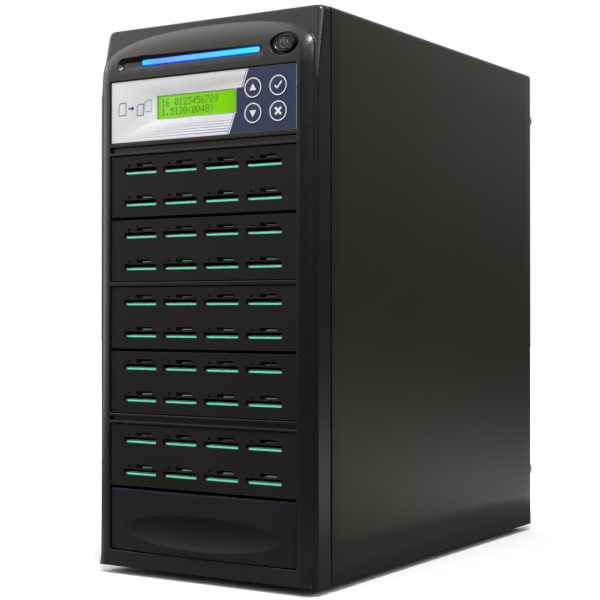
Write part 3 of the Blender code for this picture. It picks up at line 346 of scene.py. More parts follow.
def settle(obj, name, look, body="case", stands_for=(), sharp=38):
    """Name a finished piece, give it its finish and set it on its body."""
    obj.name = name
    obj.data.name = name
    if look is not None:
        obj.data.materials.clear()
        obj.data.materials.append(look)
    obj.data.shade_smooth()
    obj.data.set_sharp_from_angle(angle=math.radians(sharp))
    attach(obj, body)
    if stands_for:
        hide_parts(*stands_for)
    return obj


def soften(obj, width, segments=2):
    """Round the edges of a boxy piece."""
    bevel = obj.modifiers.new("edges", "BEVEL")
    bevel.width = width
    bevel.segments = segments
    bevel.limit_method = "ANGLE"
    bevel.angle_limit = math.radians(40)
    return obj


def even_shading(obj):
    """Let large flat faces set the normals beside small rounded ones."""
    weighted = obj.modifiers.new("shading", "WEIGHTED_NORMAL")
    weighted.keep_sharp = True
    return obj


# Finishes.


def colour_band(nodes, stops):
    """A colour ramp with (place, colour) stops."""
    node = nodes.new("ShaderNodeValToRGB")
    band = node.color_ramp
    while len(band.elements) < len(stops):
        band.elements.new(1.0)
    for element, (spot, colour) in zip(band.elements, stops):
        element.position = spot
        element.color = (*colour, 1.0)
    return node


class Finish:
    """A Principled material with its node tree at hand."""

    def __init__(self, name, colour, roughness, metallic=0.0, specular=0.5, tint=(1.0, 1.0, 1.0)):
        self.material = bpy.data.materials.new(name)
        self.material.use_nodes = True
        self.nodes = self.material.node_tree.nodes
        self.links = self.material.node_tree.links
        self.shader = self.nodes["Principled BSDF"]
        self.colour = np.array(colour, float)
        self.shader.inputs["Base Color"].default_value = (*colour, 1.0)
        self.shader.inputs["Roughness"].default_value = roughness
        self.shader.inputs["Metallic"].default_value = metallic
        self.shader.inputs["Specular IOR Level"].default_value = specular
        self.shader.inputs["Specular Tint"].default_value = (*tint, 1.0)
        self.roughness = roughness
        self.coordinates = self.add("ShaderNodeTexCoord").outputs["Object"]

    def add(self, kind, **inputs):
        node = self.nodes.new(kind)
        for key, value in inputs.items():
            node.inputs[key.replace("_", " ")].default_value = value
        return node

    def join(self, source, target):
        self.links.new(source, target)

    def noise(self, size, detail=2.0, stretch=(1.0, 1.0, 1.0)):
        """Noise whose features are about a size across."""
        mapping = self.add("ShaderNodeMapping", Scale=stretch)
        self.join(self.coordinates, mapping.inputs["Vector"])
        node = self.add("ShaderNodeTexNoise", Scale=1 / size, Detail=detail)
        self.join(mapping.outputs["Vector"], node.inputs["Vector"])
        return node.outputs["Fac"]

    def ranged(self, source, low, high, start=0.3, end=0.7):
        """A value carried from one range to another."""
        node = self.add("ShaderNodeMapRange", From_Min=start, From_Max=end, To_Min=low, To_Max=high)
        self.join(source, node.inputs["Value"])
        return node.outputs["Result"]

    def mixed(self, factor, first, second):
        """A colour between two colours, each a value or a socket."""
        node = self.nodes.new("ShaderNodeMix")
        node.data_type = "RGBA"
        self.join(factor, node.inputs["Factor"])
        for name, value in (("A", first), ("B", second)):
            socket = [s for s in node.inputs if s.name == name and s.type == "RGBA"][0]
            if isinstance(value, bpy.types.NodeSocket):
                self.join(value, socket)
            else:
                socket.default_value = (*value, 1.0)
        return [s for s in node.outputs if s.type == "RGBA"][0]

    def mottle(self, amount, size=30 * mm, gloss=0.05):
        """Slow changes of colour and gloss over the surface."""
        slow = self.noise(size)
        factor = self.ranged(slow, 0.0, 1.0)
        colour = self.mixed(factor, self.colour * (1 - amount), self.colour * (1 + amount))
        self.join(colour, self.shader.inputs["Base Color"])
        fine = self.noise(size / 25, 3.0)
        rough = self.ranged(fine, self.roughness - gloss, self.roughness + gloss)
        self.join(rough, self.shader.inputs["Roughness"])
        return self

    def grain(self, size, depth, stretch=(1.0, 1.0, 1.0)):
        """A fine raised grain of a given size and depth."""
        bump = self.add("ShaderNodeBump", Strength=1.0, Distance=depth)
        self.join(self.noise(size, 3.0, stretch), bump.inputs["Height"])
        self.join(bump.outputs["Normal"], self.shader.inputs["Normal"])
        return self

    def along(self, axis, start, end):
        """0 to 1 along one axis of the piece."""
        split = self.add("ShaderNodeSeparateXYZ")
        self.join(self.coordinates, split.inputs["Vector"])
        return self.ranged(split.outputs[axis], 0.0, 1.0, start, end)

    def ramp(self, factor, stops):
        """A colour read from (place, colour) stops."""
        node = colour_band(self.nodes, stops)
        self.join(factor, node.inputs["Fac"])
        return node.outputs["Color"]


def moulded(name, colour, roughness, grain=0.35 * mm, depth=0.012 * mm, mottle=0.1, specular=0.5,
            tint=(1.0, 1.0, 1.0)):
    """Moulded plastic: a fine spark-eroded grain and a faint unevenness."""
    finish = Finish(name, colour, roughness, specular=specular, tint=tint)
    return finish.mottle(mottle).grain(grain, depth).material


def painted_steel():
    """Brown-black satin powder paint: a tight orange peel over the sheet."""
    finish = Finish("case_paint", (0.0135, 0.0098, 0.0056), 0.38, tint=(1.0, 0.88, 0.55))
    finish.mottle(amount=0.1, size=60 * mm, gloss=0.03)
    return finish.grain(size=0.7 * mm, depth=0.02 * mm).material


def plated_steel():
    """Zinc-plated sheet: soft spangle and rolling lines."""
    finish = Finish("zinc_plate", (0.52, 0.53, 0.54), 0.36, metallic=1.0)
    spangle = 9 * mm
    cells = finish.add("ShaderNodeTexVoronoi", Scale=1 / spangle)
    finish.join(finish.coordinates, cells.inputs["Vector"])
    split = finish.add("ShaderNodeSeparateXYZ")
    finish.join(cells.outputs["Color"], split.inputs["Vector"])
    tint = finish.mixed(split.outputs["X"], (0.44, 0.45, 0.47), (0.58, 0.59, 0.6))
    finish.join(tint, finish.shader.inputs["Base Color"])
    rough = finish.ranged(split.outputs["Y"], 0.28, 0.45, 0.0, 1.0)
    finish.join(rough, finish.shader.inputs["Roughness"])
    return finish.grain(size=0.5 * mm, depth=0.008 * mm, stretch=(0.2, 1.0, 1.0)).material


def nickel(name="nickel_plate", colour=(0.6, 0.58, 0.54), roughness=0.28):
    """Plated metal: faint stains and fine drawing marks."""
    finish = Finish(name, colour, roughness, metallic=1.0)
    return finish.mottle(amount=0.08, size=5 * mm).grain(size=0.2 * mm, depth=0.004 * mm).material


def solder_mask(name, colour):
    """A circuit board: green lacquer with the paler lines of tracks below it."""
    finish = Finish(name, colour, 0.35)
    track_pitch = 18 * mm
    tracks = finish.add("ShaderNodeTexBrick", Scale=1 / track_pitch, Mortar_Size=0.012)
    finish.join(finish.coordinates, tracks.inputs["Vector"])
    tint = finish.mixed(tracks.outputs["Fac"], finish.colour, finish.colour * 1.5)
    finish.join(tint, finish.shader.inputs["Base Color"])
    return finish.grain(size=1.5 * mm, depth=0.01 * mm).material


def board_edge_painted_glow(name, colour, glow):
    """The cut edge of a board: pale green glass layers, streaked along the cut,
    and a painted glow: the same streaked colour as emission, a painted highlight."""
    finish = Finish(name, colour, 0.4)
    layers = finish.noise(size=0.4 * mm, detail=3.0, stretch=(0.12, 1.0, 1.6))
    factor = finish.ranged(layers, 0.0, 1.0)
    tint = finish.mixed(factor, finish.colour * 0.7, finish.colour * 1.3)
    finish.join(tint, finish.shader.inputs["Base Color"])
    finish.join(tint, finish.shader.inputs["Emission Color"])
    # Painted glow: the edge emits light though it is no lamp, in place of its highlight.
    finish.shader.inputs["Emission Strength"].default_value = glow
    return finish.grain(size=0.3 * mm, depth=0.02 * mm).material


def light_guide():
    """The lit bar: cyan at its ends, a deeper blue between, brighter in its middle line."""
    finish = Finish("light_guide", (0.02, 0.2, 0.6), 0.2)
    across = finish.along("X", bar_low[0], bar_high[0])
    stops = [(0.0, (0.02, 0.42, 1.0)), (0.05, (0.004, 0.52, 0.9)), (0.13, (0.08, 0.25, 0.95)),
             (0.3, (0.13, 0.34, 0.98)), (0.5, (0.1, 0.44, 0.95)), (0.7, (0.05, 0.58, 0.95)),
             (0.9, (0.01, 0.75, 0.95)), (1.0, (0.12, 0.62, 0.95))]
    colour = finish.ramp(across, stops)
    up = finish.along("Z", bar_low[2], bar_high[2])
    edge = finish.ramp(up, [(0.0, (0.02, 0.03, 0.55)), (0.1, (0.1, 0.12, 0.8)), (0.26, (1.0, 1.0, 1.0)),
                            (0.85, (1.0, 1.0, 1.0)), (1.0, (0.05, 0.1, 0.6))])
    glow = finish.nodes.new("ShaderNodeMix")
    glow.data_type = "RGBA"
    glow.blend_type = "MULTIPLY"
    glow.inputs["Factor"].default_value = 1.0
    sockets = [s for s in glow.inputs if s.type == "RGBA"]
    finish.join(colour, sockets[0])
    finish.join(edge, sockets[1])
    finish.join([s for s in glow.outputs if s.type == "RGBA"][0], finish.shader.inputs["Emission Color"])
    finish.shader.inputs["Emission Strength"].default_value = 1.0
    return finish.grain(size=1.2 * mm, depth=0.01 * mm).material


def liquid_crystal(low, high):
    """The lit display: yellow-green, a little deeper towards its edges."""
    finish = Finish("liquid_crystal", (0.03, 0.1, 0.003), 0.22, specular=0.2)
    across = finish.along("X", low[0], high[0])
    shade = finish.ramp(across, [(0.0, (0.15, 0.46, 0.002)), (0.12, (0.18, 0.54, 0.002)),
                                 (0.8, (0.19, 0.56, 0.003)), (1.0, (0.15, 0.47, 0.002))])
    finish.join(shade, finish.shader.inputs["Emission Color"])
    finish.shader.inputs["Emission Strength"].default_value = 1.0
    return finish.grain(size=0.3 * mm, depth=0.004 * mm).material


def ribbed_ribbon():
    """Grey ribbon cable: fine ribs along the cable."""
    finish = Finish("ribbon", (0.38, 0.38, 0.4), 0.55)
    conductor_pitch = 1.27 * mm
    wave = finish.add("ShaderNodeTexWave", Scale=2 / (math.tau * conductor_pitch))
    finish.join(finish.coordinates, wave.inputs["Vector"])
    bump = finish.add("ShaderNodeBump", Strength=1.0, Distance=0.3 * mm)
    finish.join(wave.outputs["Fac"], bump.inputs["Height"])
    finish.join(bump.outputs["Normal"], finish.shader.inputs["Normal"])
    return finish.material


looks = {
    "case": painted_steel(),
    "front": moulded("front_moulding", (0.0056, 0.0052, 0.0041), 0.3, 0.4 * mm, 0.004 * mm,
                     tint=(1.0, 0.98, 0.9)),
    "reader": moulded("reader_plate", (0.011, 0.0095, 0.0063), 0.5, 0.3 * mm, 0.016 * mm, specular=0.15,
                      tint=(1.0, 0.94, 0.8)),
    "lower": moulded("lower_cover", (0.0085, 0.009, 0.0108), 0.52, 0.45 * mm, 0.03 * mm, 0.16, 0.16),
    "button": moulded("button_cap", (0.008, 0.008, 0.008), 0.32, 0.3 * mm, 0.006 * mm),
    "button_mark": moulded("button_sign", (0.2, 0.2, 0.2), 0.4, 0.3 * mm, 0.004 * mm),
    "zinc": plated_steel(),
    "nickel": nickel(),
    # Painted reflection: dim brown metal for the upper rows' slot lips.
    "dim_shell_painted_reflection": nickel("shell_painted_brown_reflection", (0.2, 0.15, 0.1), 0.4),
    "gold": nickel("gilt_contact", (0.95, 0.82, 0.55), 0.25),
    "film": moulded("white_film", (0.8, 0.8, 0.805), 0.42, 0.6 * mm, 0.004 * mm, 0.015, 0.25),
    "navy": moulded("navy_print", (0.03, 0.04, 0.088), 0.42, 0.6 * mm, 0.004 * mm, 0.03, 0.25),
    "stripe": moulded("pale_print", (0.2, 0.25, 0.42), 0.42, 0.6 * mm, 0.004 * mm, 0.03),
    "mark": moulded("white_print", (0.8, 0.81, 0.84), 0.42, 0.6 * mm, 0.004 * mm, 0.02),
    "ink": moulded("crystal_ink", (0.03, 0.075, 0.012), 0.3, 0.2 * mm, 0.002 * mm, 0.05),
    "mask": solder_mask("green_mask", (0.012, 0.16, 0.09)),
    "dark_mask": solder_mask("dark_mask", (0.008, 0.045, 0.022)),
    # Board edges with a painted glow: the tongues, and the lower rows' slot lips.
    "edge": board_edge_painted_glow("board_edge_painted_glow", (0.13, 0.66, 0.42), 0.35),
    "pale_edge_painted_glow": board_edge_painted_glow("pale_board_edge", (0.12, 0.26, 0.2), 0.3),
    "fan": moulded("fan_moulding", (0.014, 0.014, 0.014), 0.4),
    "chip": moulded("chip_package", (0.012, 0.012, 0.013), 0.55, 0.2 * mm, 0.008 * mm),
    "rubber": moulded("foot_rubber", (0.016, 0.016, 0.016), 0.75, 0.5 * mm, 0.03 * mm),
    "ribbon": ribbed_ribbon(),
    "light": light_guide(),
}


# The moulded front.


def visor_y(z):
    """The outer body's front: base + recede * climb ** 1.3 above the visor's start."""
    climb = np.clip((z - visor_start) / (case_top - visor_start), 0.0, None)
    return face_y + shield_proud + visor_recede * climb ** 1.3


def shield_y(z):
    """The shield's face: face + lean * climb ** 1.5 above the control panel."""
    climb = np.clip((z - control_top) / (arch_top - control_top), 0.0, None)
    return face_y + shield_lean * climb ** 1.5


def outer_body():
    """The outer body. A section at height z has a straight back and sides and a
    front at visor_y(z) with quarter-round corners, whose radius grows as the
    visor climbs. At both ends the section draws in along a quarter circle, over
    a shorter height in front than at the sides. The top falls a little forwards."""
    turn = np.linspace(0, quarter_turn, 10)
    foot = case_bottom + bottom_edge * (1 - np.cos(turn))
    foot_inset = bottom_edge * (1 - np.sin(turn))
    rise = np.linspace(visor_start, case_top - top_corner, 30)[:-1]
    head = case_top - top_corner * (1 - np.sin(turn))
    head_inset = 1 - np.cos(turn)
    z = np.concatenate((foot, rise, head))
    side_inset = np.concatenate((foot_inset, 0 * rise, top_corner * head_inset))
    edge = np.clip(1 - (case_top - z) / top_front_edge, 0.0, 1.0)
    front_inset = top_front_edge * (1 - np.sqrt(1 - edge ** 2))
    front_inset[:len(foot)] = foot_inset
    half = (half_width - side_inset)[:, None]
    front = (visor_y(z) + front_inset)[:, None]
    corner = np.linspace(0, quarter_turn, 10)
    climb = np.clip((z - visor_start) / (case_top - visor_start), 0.0, 1.0)[:, None]
    radius = body_corner + (crown_corner - body_corner) * climb
    arc_x = half - radius * (1 - np.cos(corner))
    arc_y = front + radius * (1 - np.sin(corner))
    back = np.full_like(half, bezel_back)
    x = np.concatenate((half, arc_x, -arc_x[:, ::-1], -half), axis=1)
    y = np.concatenate((back, arc_y, arc_y[:, ::-1], back), axis=1)
    level = z[:, None] - top_fall * climb ** 2 * (bezel_back - y) / (bezel_back - face_y)
    return skin(np.stack((x, y, level), axis=-1))


def shield_outline(grow, drawn):
    """Half of the arch-topped outline from the bottom up, as (x, z), with the drop
    of the face's edge at each point. Over the arch x = w sin(t) ** p and
    z = spring + h cos(t) ** q; drawn, from 0 to 1, insets it by the rolls. The
    drop goes from the foot's over the column's to the arch's."""
    half = shield_half + grow - column_roll * drawn
    height = arch_top - arch_spring + grow - arch_roll * drawn
    low = case_bottom + shield_clear - grow + foot_roll * drawn
    spring_shares = np.array((-2.0, 0.0, 0.35, 0.7))
    sides = np.concatenate((low + foot_blend * np.linspace(0, 1, 8), control_top + arch_lift * spring_shares))
    turn = quarter_turn * (1 - np.linspace(0, 1, 64, endpoint=False)) ** 1.5
    x = np.concatenate((np.full(len(sides), half), half * np.sin(turn) ** arch_width_power))
    z = np.concatenate((sides, arch_spring + height * np.cos(turn) ** arch_height_power))
    foot = np.clip((z - low) / foot_blend, 0.0, 1.0)
    climb = np.concatenate((0 * sides, np.cos(turn) ** 2))
    drop = foot_drop + (column_drop - foot_drop) * foot ** 0.7 + (arch_drop - column_drop) * climb
    return x, z, drop


def shield():
    """The raised face. From the outer body it rises out of a hollow fillet, goes
    straight up a little and swells onto the face: at a share u of the roll it
    still lies (1 - u) ** 2.4 of the drop below the face."""
    root = face_y + shield_proud + visor_recede + overrun
    fillet_start = 0.12
    rings = []

    def ring(grow, drawn, depth):
        x, z, drop = shield_outline(grow, drawn)
        y = depth(z, drop)
        rings.append(np.concatenate((np.stack((x, y, z), axis=-1),
                                     np.stack((-x, y, z), axis=-1)[::-1])))

    ring(shield_flare, 0.0, lambda z, drop: np.full_like(z, root))
    ring(shield_flare, 0.0, lambda z, drop: visor_y(z) + fit_gap)
    for turn in np.linspace(fillet_start, quarter_turn, 5):
        lift = shield_flare * (1 - math.cos(turn))
        ring(shield_flare * (1 - math.sin(turn)), 0.0, lambda z, drop: visor_y(z) - lift)
    for drawn in np.linspace(0.0, 1.0, 20) ** 1.4:
        left = (1 - drawn) ** 2.4
        ring(0.0, drawn, lambda z, drop: shield_y(z) + left * drop)
    rings = np.array(rings)
    rows, columns = rings.shape[:2]
    faces = ring_faces(rows, columns)
    faces.append(list(range(columns)))
    rung = np.arange(columns // 2 - 1)
    last = (rows - 1) * columns
    ladder = (last + rung, last + rung + 1, last + columns - 2 - rung, last + columns - 1 - rung)
    faces += np.stack(ladder, axis=-1).tolist()
    return shape(rings, faces)


def hollow():
    """The room behind the front, a wall's thickness behind its outer faces."""
    high = case_top - bezel_wall
    z = np.linspace(control_top, high, 12)
    front = face_y + bezel_wall
    outline = np.concatenate(([(bezel_back + overrun, case_bottom + bezel_wall)],
                              [(front, case_bottom + bezel_wall)],
                              np.stack((visor_y(z) + bezel_wall, z), axis=-1),
                              [(bezel_back + overrun, high)]))
    half = shield_half - bezel_wall
    rings = [np.insert(outline, 0, x, axis=1) for x in (-half, half)]
    return skin(np.array(rings))


def mouth(edge, steps=4):
    """Growth and depth of a rounded rim: e (1 - sin t) and e (1 - cos t), begun
    a little in front of the face."""
    turn = np.linspace(0, quarter_turn, steps + 1)
    grow = np.concatenate(([edge + rim_lead], edge * (1 - np.sin(turn))))
    depth = np.concatenate(([-rim_ahead], edge * (1 - np.cos(turn)) + hair))
    return grow, depth


def rim(outline, edge):
    """The rings of a rounded rim that follows the shield's face."""
    rings = []
    for grow, depth in zip(*mouth(edge)):
        points = outline(grow)
        rings.append(upright(points, shield_y(points[:, 1]) + depth))
    return rings


def sunk(outline, edge, back):
    """A cutter that goes straight in from the face to a depth, with a rounded rim."""
    return skin(np.array([*rim(outline, edge), upright(outline(0.0), back)]))


def light_recess():
    """The recess of the light bar: a bar with round ends, whose upper edge rises
    evenly towards the left end. Inside its rim the wall falls by
    d (1 - cos(pi t)) / 2, with t the share of the wall's width crossed. The wall
    is narrow along the bar and wide at the left end, which makes a bowl there,
    and the floor is a gentle ramp that is deepest at the bar."""
    left_reach, right_reach, upper_reach = 19 * mm, 5.2 * mm, 2.7 * mm
    height = 9 * mm
    rise, rise_length = 2.6 * mm, 50 * mm
    bowl_length = 16 * mm
    narrow_wall = 1.3 * mm
    floor_depth, bowl_depth, ramp_depth = 1.2 * mm, 1.6 * mm, 1.1 * mm
    start_grow, start_ahead = 0.5 * mm, 0.4 * mm
    left, right = bar_low[0] - left_reach, bar_high[0] + right_reach
    high = light_z + upper_reach
    low = high - height
    outline = rounded_box(left, right, low, high, height / 2 - hair, 12)

    def raised(grow):
        points = outline(grow)
        share = 1 - np.clip((points[:, 0] - left) / rise_length, 0.0, 1.0)
        points[:, 1] += rise * share * (points[:, 1] - low) / height
        return points

    rings = [upright(raised(start_grow), face_y - start_ahead)]
    half = height / 2 - let_in
    for inset in half * np.linspace(0.0, 1.0, 22) ** 1.3:
        points = raised(-inset)
        x, z = points.T
        ramp = np.clip((z - low) / (bar_low[2] - low), 0.0, 1.0)
        bowl = 1 - np.clip((x - left) / bowl_length, 0.0, 1.0)
        wall = narrow_wall + (half - narrow_wall) * bowl
        fall = 0.5 - 0.5 * np.cos(math.pi * np.clip(inset / wall, 0.0, 1.0))
        sink = (floor_depth + bowl_depth * bowl + ramp_depth * ramp * (1 - bowl)) * fall
        rings.append(upright(points, shield_y(z) + sink + hair))
    return skin(np.array(rings))


def button_moat():
    """The oval recess round the button: a rounded rim, a straight wall, a flat
    floor and, inside it, the bore that the button slides in."""
    outline = oval(button_x, button_z, moat_half_width, moat_half_height)
    bore = oval(button_x, button_z, cap_half_width, cap_half_height)(fit_gap)
    floor = face_y + pocket_depth
    steps = [upright(outline(0.0), floor), upright(bore, floor), upright(bore, seam_y)]
    return skin(np.array([*rim(outline, recess_edge), *steps]))


def front_windows():
    """The four windows: lower cover and last reader, two pairs of readers, controls."""
    plates = [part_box("reader_faceplate_" + str(number)) for number in (5, 4, 3, 2, 1)]
    film = (film_low, film_high)
    pairs = ((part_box("lower_cover"), plates[0]), plates[1:3], plates[3:5], (film, film))
    half = panel_half + window_gap
    for below, above in pairs:
        window = rounded_box(-half, half, below[0][2] - window_gap, above[1][2] + window_gap, window_corner)
        yield sunk(window, window_edge, seam_y + overrun)


def bar_grooves():
    """Grooves along the two taller bars, which leave a thin lip at each window."""
    lip_height, film_lip_height = 1.7 * mm, 2.4 * mm
    corner = 0.5 * mm
    depth = 2.1 * mm
    half = panel_half + window_gap
    bars = ((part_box("reader_faceplate_5")[1][2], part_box("reader_faceplate_4")[0][2], lip_height),
            (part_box("reader_faceplate_1")[1][2], film_low[2], film_lip_height))
    for low, high, upper_lip in bars:
        groove = rounded_box(-half, half, low + window_gap + lip_height, high - window_gap - upper_lip, corner)
        yield sunk(groove, window_edge, face_y + depth)


def seam_groove():
    """The shadow gap round the moulding's rear edge, beside the cover."""
    deep, long = 2 * mm, 1.4 * mm
    outer = rounded_box(-half_width - overrun, half_width + overrun, case_bottom - overrun,
                        case_top + overrun, top_corner)
    inner = rounded_box(-half_width + deep, half_width - deep, case_bottom - 2 * overrun,
                        case_top - deep, top_corner - deep, 8)
    tool = slab([outer], bezel_back - long, bezel_back + overrun, hair, 1)
    return carve(tool, slab([inner], bezel_back - 2 * overrun, bezel_back + 2 * overrun, hair, 1))


def moulded_front():
    """The whole moulding: body and shield, less the room, windows and recesses."""
    moulding = carve(outer_body(), shield(), "UNION")
    moulding = carve(moulding, hollow())
    side = (panel_half + window_gap + shield_half - bezel_wall) / 2
    for node in ("lower_cover", "reader_faceplate_3", "control_overlay"):
        for x in (-side, side):
            post = [(post_radius, face_y + bezel_wall - let_in), (post_radius, seam_y - fit_gap)]
            moulding = carve(moulding, turned(post, x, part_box(node)[0][2], 24), "UNION")
    for tool in (button_moat(), *front_windows(), *bar_grooves(), light_recess(), seam_groove()):
        moulding = carve(moulding, tool)
    bar = rounded_box(bar_low[0] - fit_gap, bar_high[0] + fit_gap, bar_low[2] - fit_gap,
                      bar_high[2] + fit_gap, (bar_high[2] - bar_low[2]) / 2, 10)
    moulding = carve(moulding, skin(np.array([upright(bar(0.0), face_y), upright(bar(0.0), seam_y)])))
    settle(moulding, "front_moulding", looks["front"], stands_for=("front_bezel",))
    even_shading(moulding)


def light_bar():
    """The light guide: a bar with round ends and edges, standing out of the recess's floor."""
    end_flat, edge = 0.1 * mm, 0.9 * mm
    round_end = (bar_high[2] - bar_low[2]) / 2 - end_flat
    outline = rounded_box(bar_low[0], bar_high[0], bar_low[2], bar_high[2], round_end, 10)
    bar = slab([outline], bar_low[1], bar_high[1], edge, 6)
    settle(bar, "light_guide_bar", looks["light"], stands_for=("light_bar",))


def power_button():
    """An oval cap, slightly domed inside a raised rim, on its flange and stem.
    Rings are ellipses whose size and depth follow the cap's profile."""
    flange_thickness, stem_length, stem_radius, root_inset = 1.5 * mm, 1.2 * mm, 2 * mm, 3.4 * mm
    profile = mm * np.array(((-4.9, 0.55), (-3.0, 0.5), (-1.6, 0.62), (-1.2, 0.66), (-0.95, 0.5), (-0.75, 0.2),
                             (-0.5, 0.02), (-0.25, 0.06), (-0.08, 0.25), (0.0, 0.6)))
    front, back = button_low[1], button_high[1]
    flange = button_high[0] - button_x - cap_half_width
    flange_back = back - stem_length
    flange_front = flange_back - flange_thickness
    cap = oval(button_x, button_z, cap_half_width, cap_half_height)
    rings = [upright(cap(grow), front + depth) for grow, depth in profile]
    rings += [upright(cap(0.0), flange_front), upright(cap(flange), flange_front),
              upright(cap(flange), flange_back), upright(cap(-root_inset), flange_back)]
    body = skin(np.array(rings))
    stem = turned([(stem_radius, flange_back - let_in), (stem_radius, back)], button_x, button_z, 24)
    body = carve(body, stem, "UNION")
    settle(body, "power_cap", looks["button"], "power_button", ("power_button",), 30)
    power_sign(front)


def power_sign(front):
    """The sign on the cap: a ring open at the top, with a stroke in its gap."""
    ring_drop, ring_inside, ring_outside = 0.3 * mm, 2.45 * mm, 3.15 * mm
    ring_start, ring_sweep = math.radians(125), math.radians(290)
    stroke_half, stroke_drop, stroke_rise, stroke_corner = 0.35 * mm, 0.2 * mm, 3.2 * mm, 0.15 * mm
    mark_front, mark_back, mark_edge = 0.42 * mm, 0.6 * mm, 0.05 * mm
    ring = arc_slot(button_x, button_z - ring_drop, ring_inside, ring_outside, ring_start, ring_sweep, 24)
    stroke = rounded_box(button_x - stroke_half, button_x + stroke_half, button_z - stroke_drop,
                         button_z + stroke_rise, stroke_corner)
    for name, outline in (("power_ring", ring), ("power_stroke", stroke)):
        mark = slab([outline], front + mark_front, front + mark_back, mark_edge, 2)
        settle(mark, name, looks["button_mark"], "power_button")


# The panels.


def slot_lefts():
    """The left edges of the four slots in a row."""
    return (np.arange(4) - 1.5) * column_pitch - slot_width / 2


def reader_plates():
    """Five reader plates, each with rounded rims round its slots and lamp holes."""
    plate_corner, slot_corner, plate_edge = 0.5 * mm, 0.25 * mm, 0.18 * mm
    for number in range(1, 6):
        node = "reader_faceplate_" + str(number)
        low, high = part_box(node)
        centre = (low[2] + high[2]) / 2
        outlines = [rounded_box(low[0], high[0], low[2], high[2], plate_corner)]
        for row in row_levels.values():
            bottom = centre + row
            for left in slot_lefts():
                outlines.append(rounded_box(left, left + slot_width, bottom, bottom + slot_height, slot_corner))
                x = left + small_slot_inset
                z = bottom + small_slot_lift
                outlines.append(rounded_box(x, x + small_slot_width, z, z + small_slot_height, slot_corner))
                outlines.append(oval(left + lamp_inset, bottom + lamp_lift, lamp_radius, lamp_radius, 16))
        plate = slab(outlines, low[1], high[1], plate_edge)
        settle(plate, "reader_plate_" + str(number), looks["reader"], stands_for=(node,))
        even_shading(plate)


def socket(x, y, z, size):
    """A card socket's folded metal shell, open at its mouth and its back."""
    width, depth, height = size
    outer = rounded_box(x - width / 2, x + width / 2, z, z + height, shell_corner)
    return slab([outer, lambda grow: outer(grow - shell_wall)], y, y + depth, shell_edge, 2)


def socket_back(x, y, z, size):
    """Spans of the block that closes a shell's back, let halfway into its walls."""
    width, depth, height = size
    end = y + depth - shell_wall / 2
    return (about(x, width - shell_wall), (end - socket_block, end), about(z + height / 2, height - shell_wall))


def at_slot(spans, left, bottom, plate_y, tray_y):
    """Spans of a piece seen in a slot, carried to that slot."""
    (x0, x1), (y0, y1), (z0, z1) = spans
    return ((left + x0, left + x1), (plate_y + y0, tray_y + y1), (bottom + z0, bottom + z1))


def reader_boards():
    """Ten boards. Each has four tongues at its front edge, a contact beside each
    tongue, four wide and four narrow card sockets, chips and a plug header."""
    board_setback, board_margin = 0.4 * mm, 1 * mm
    header_width, header_length = 32 * mm, 8 * mm
    card_edge = 0.12 * mm
    for number in range(1, 6):
        plate_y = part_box("reader_faceplate_" + str(number))[0][1]
        for row in row_levels:
            node = "reader_" + row + "_board_" + str(number)
            low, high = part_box(node)
            tray_y, bottom = low[1], low[2]
            top = bottom + board_thickness
            tongues = []
            contacts = []
            lips = []
            chips = []
            parts = []
            for left in slot_lefts():
                centre = left + slot_width / 2
                small_left = left + small_slot_inset
                small_bottom = bottom - board_lift + small_slot_lift
                tongues.append(at_slot(tongue, left, bottom, plate_y, tray_y))
                contacts.append(at_slot(contact, left, bottom, plate_y, tray_y))
                lips.append(at_slot(lip, small_left, small_bottom, plate_y, tray_y))
                for width, depth, height, away in slot_chips:
                    chips.append((about(centre, width), about(tray_y + away, depth), (top - chip_sink, top + height)))
                mouth_y = tray_y + socket_setback
                for place in ((centre, mouth_y, top, wide_socket),
                              (small_left + small_slot_width / 2, mouth_y, top + wide_socket[2], narrow_socket)):
                    parts.append((socket(*place), looks["nickel"]))
                    chips.append(socket_back(*place))
            board = blocks([((low[0], high[0]), (tray_y + board_setback, high[1] - board_margin), (bottom, top))])
            header = blocks([(about(0.0, header_width), (high[1] - header_length, high[1]),
                              (top - chip_sink, high[2]))])
            # Painted light: the same lips get a painted glow in the lower rows and a painted brown reflection in the
            # upper rows.
            pale = looks["pale_edge_painted_glow"] if row == "lower" else looks["dim_shell_painted_reflection"]
            parts += [(board, looks["mask"]), (blocks(tongues), looks["edge"]), (blocks(contacts), looks["gold"]),
                      (blocks(lips), pale), (blocks(chips), looks["chip"]), (header, looks["chip"])]
            card = settle(gather(parts), "card_board_" + row + "_" + str(number), None, stands_for=(node,))
            soften(card, card_edge, 1)


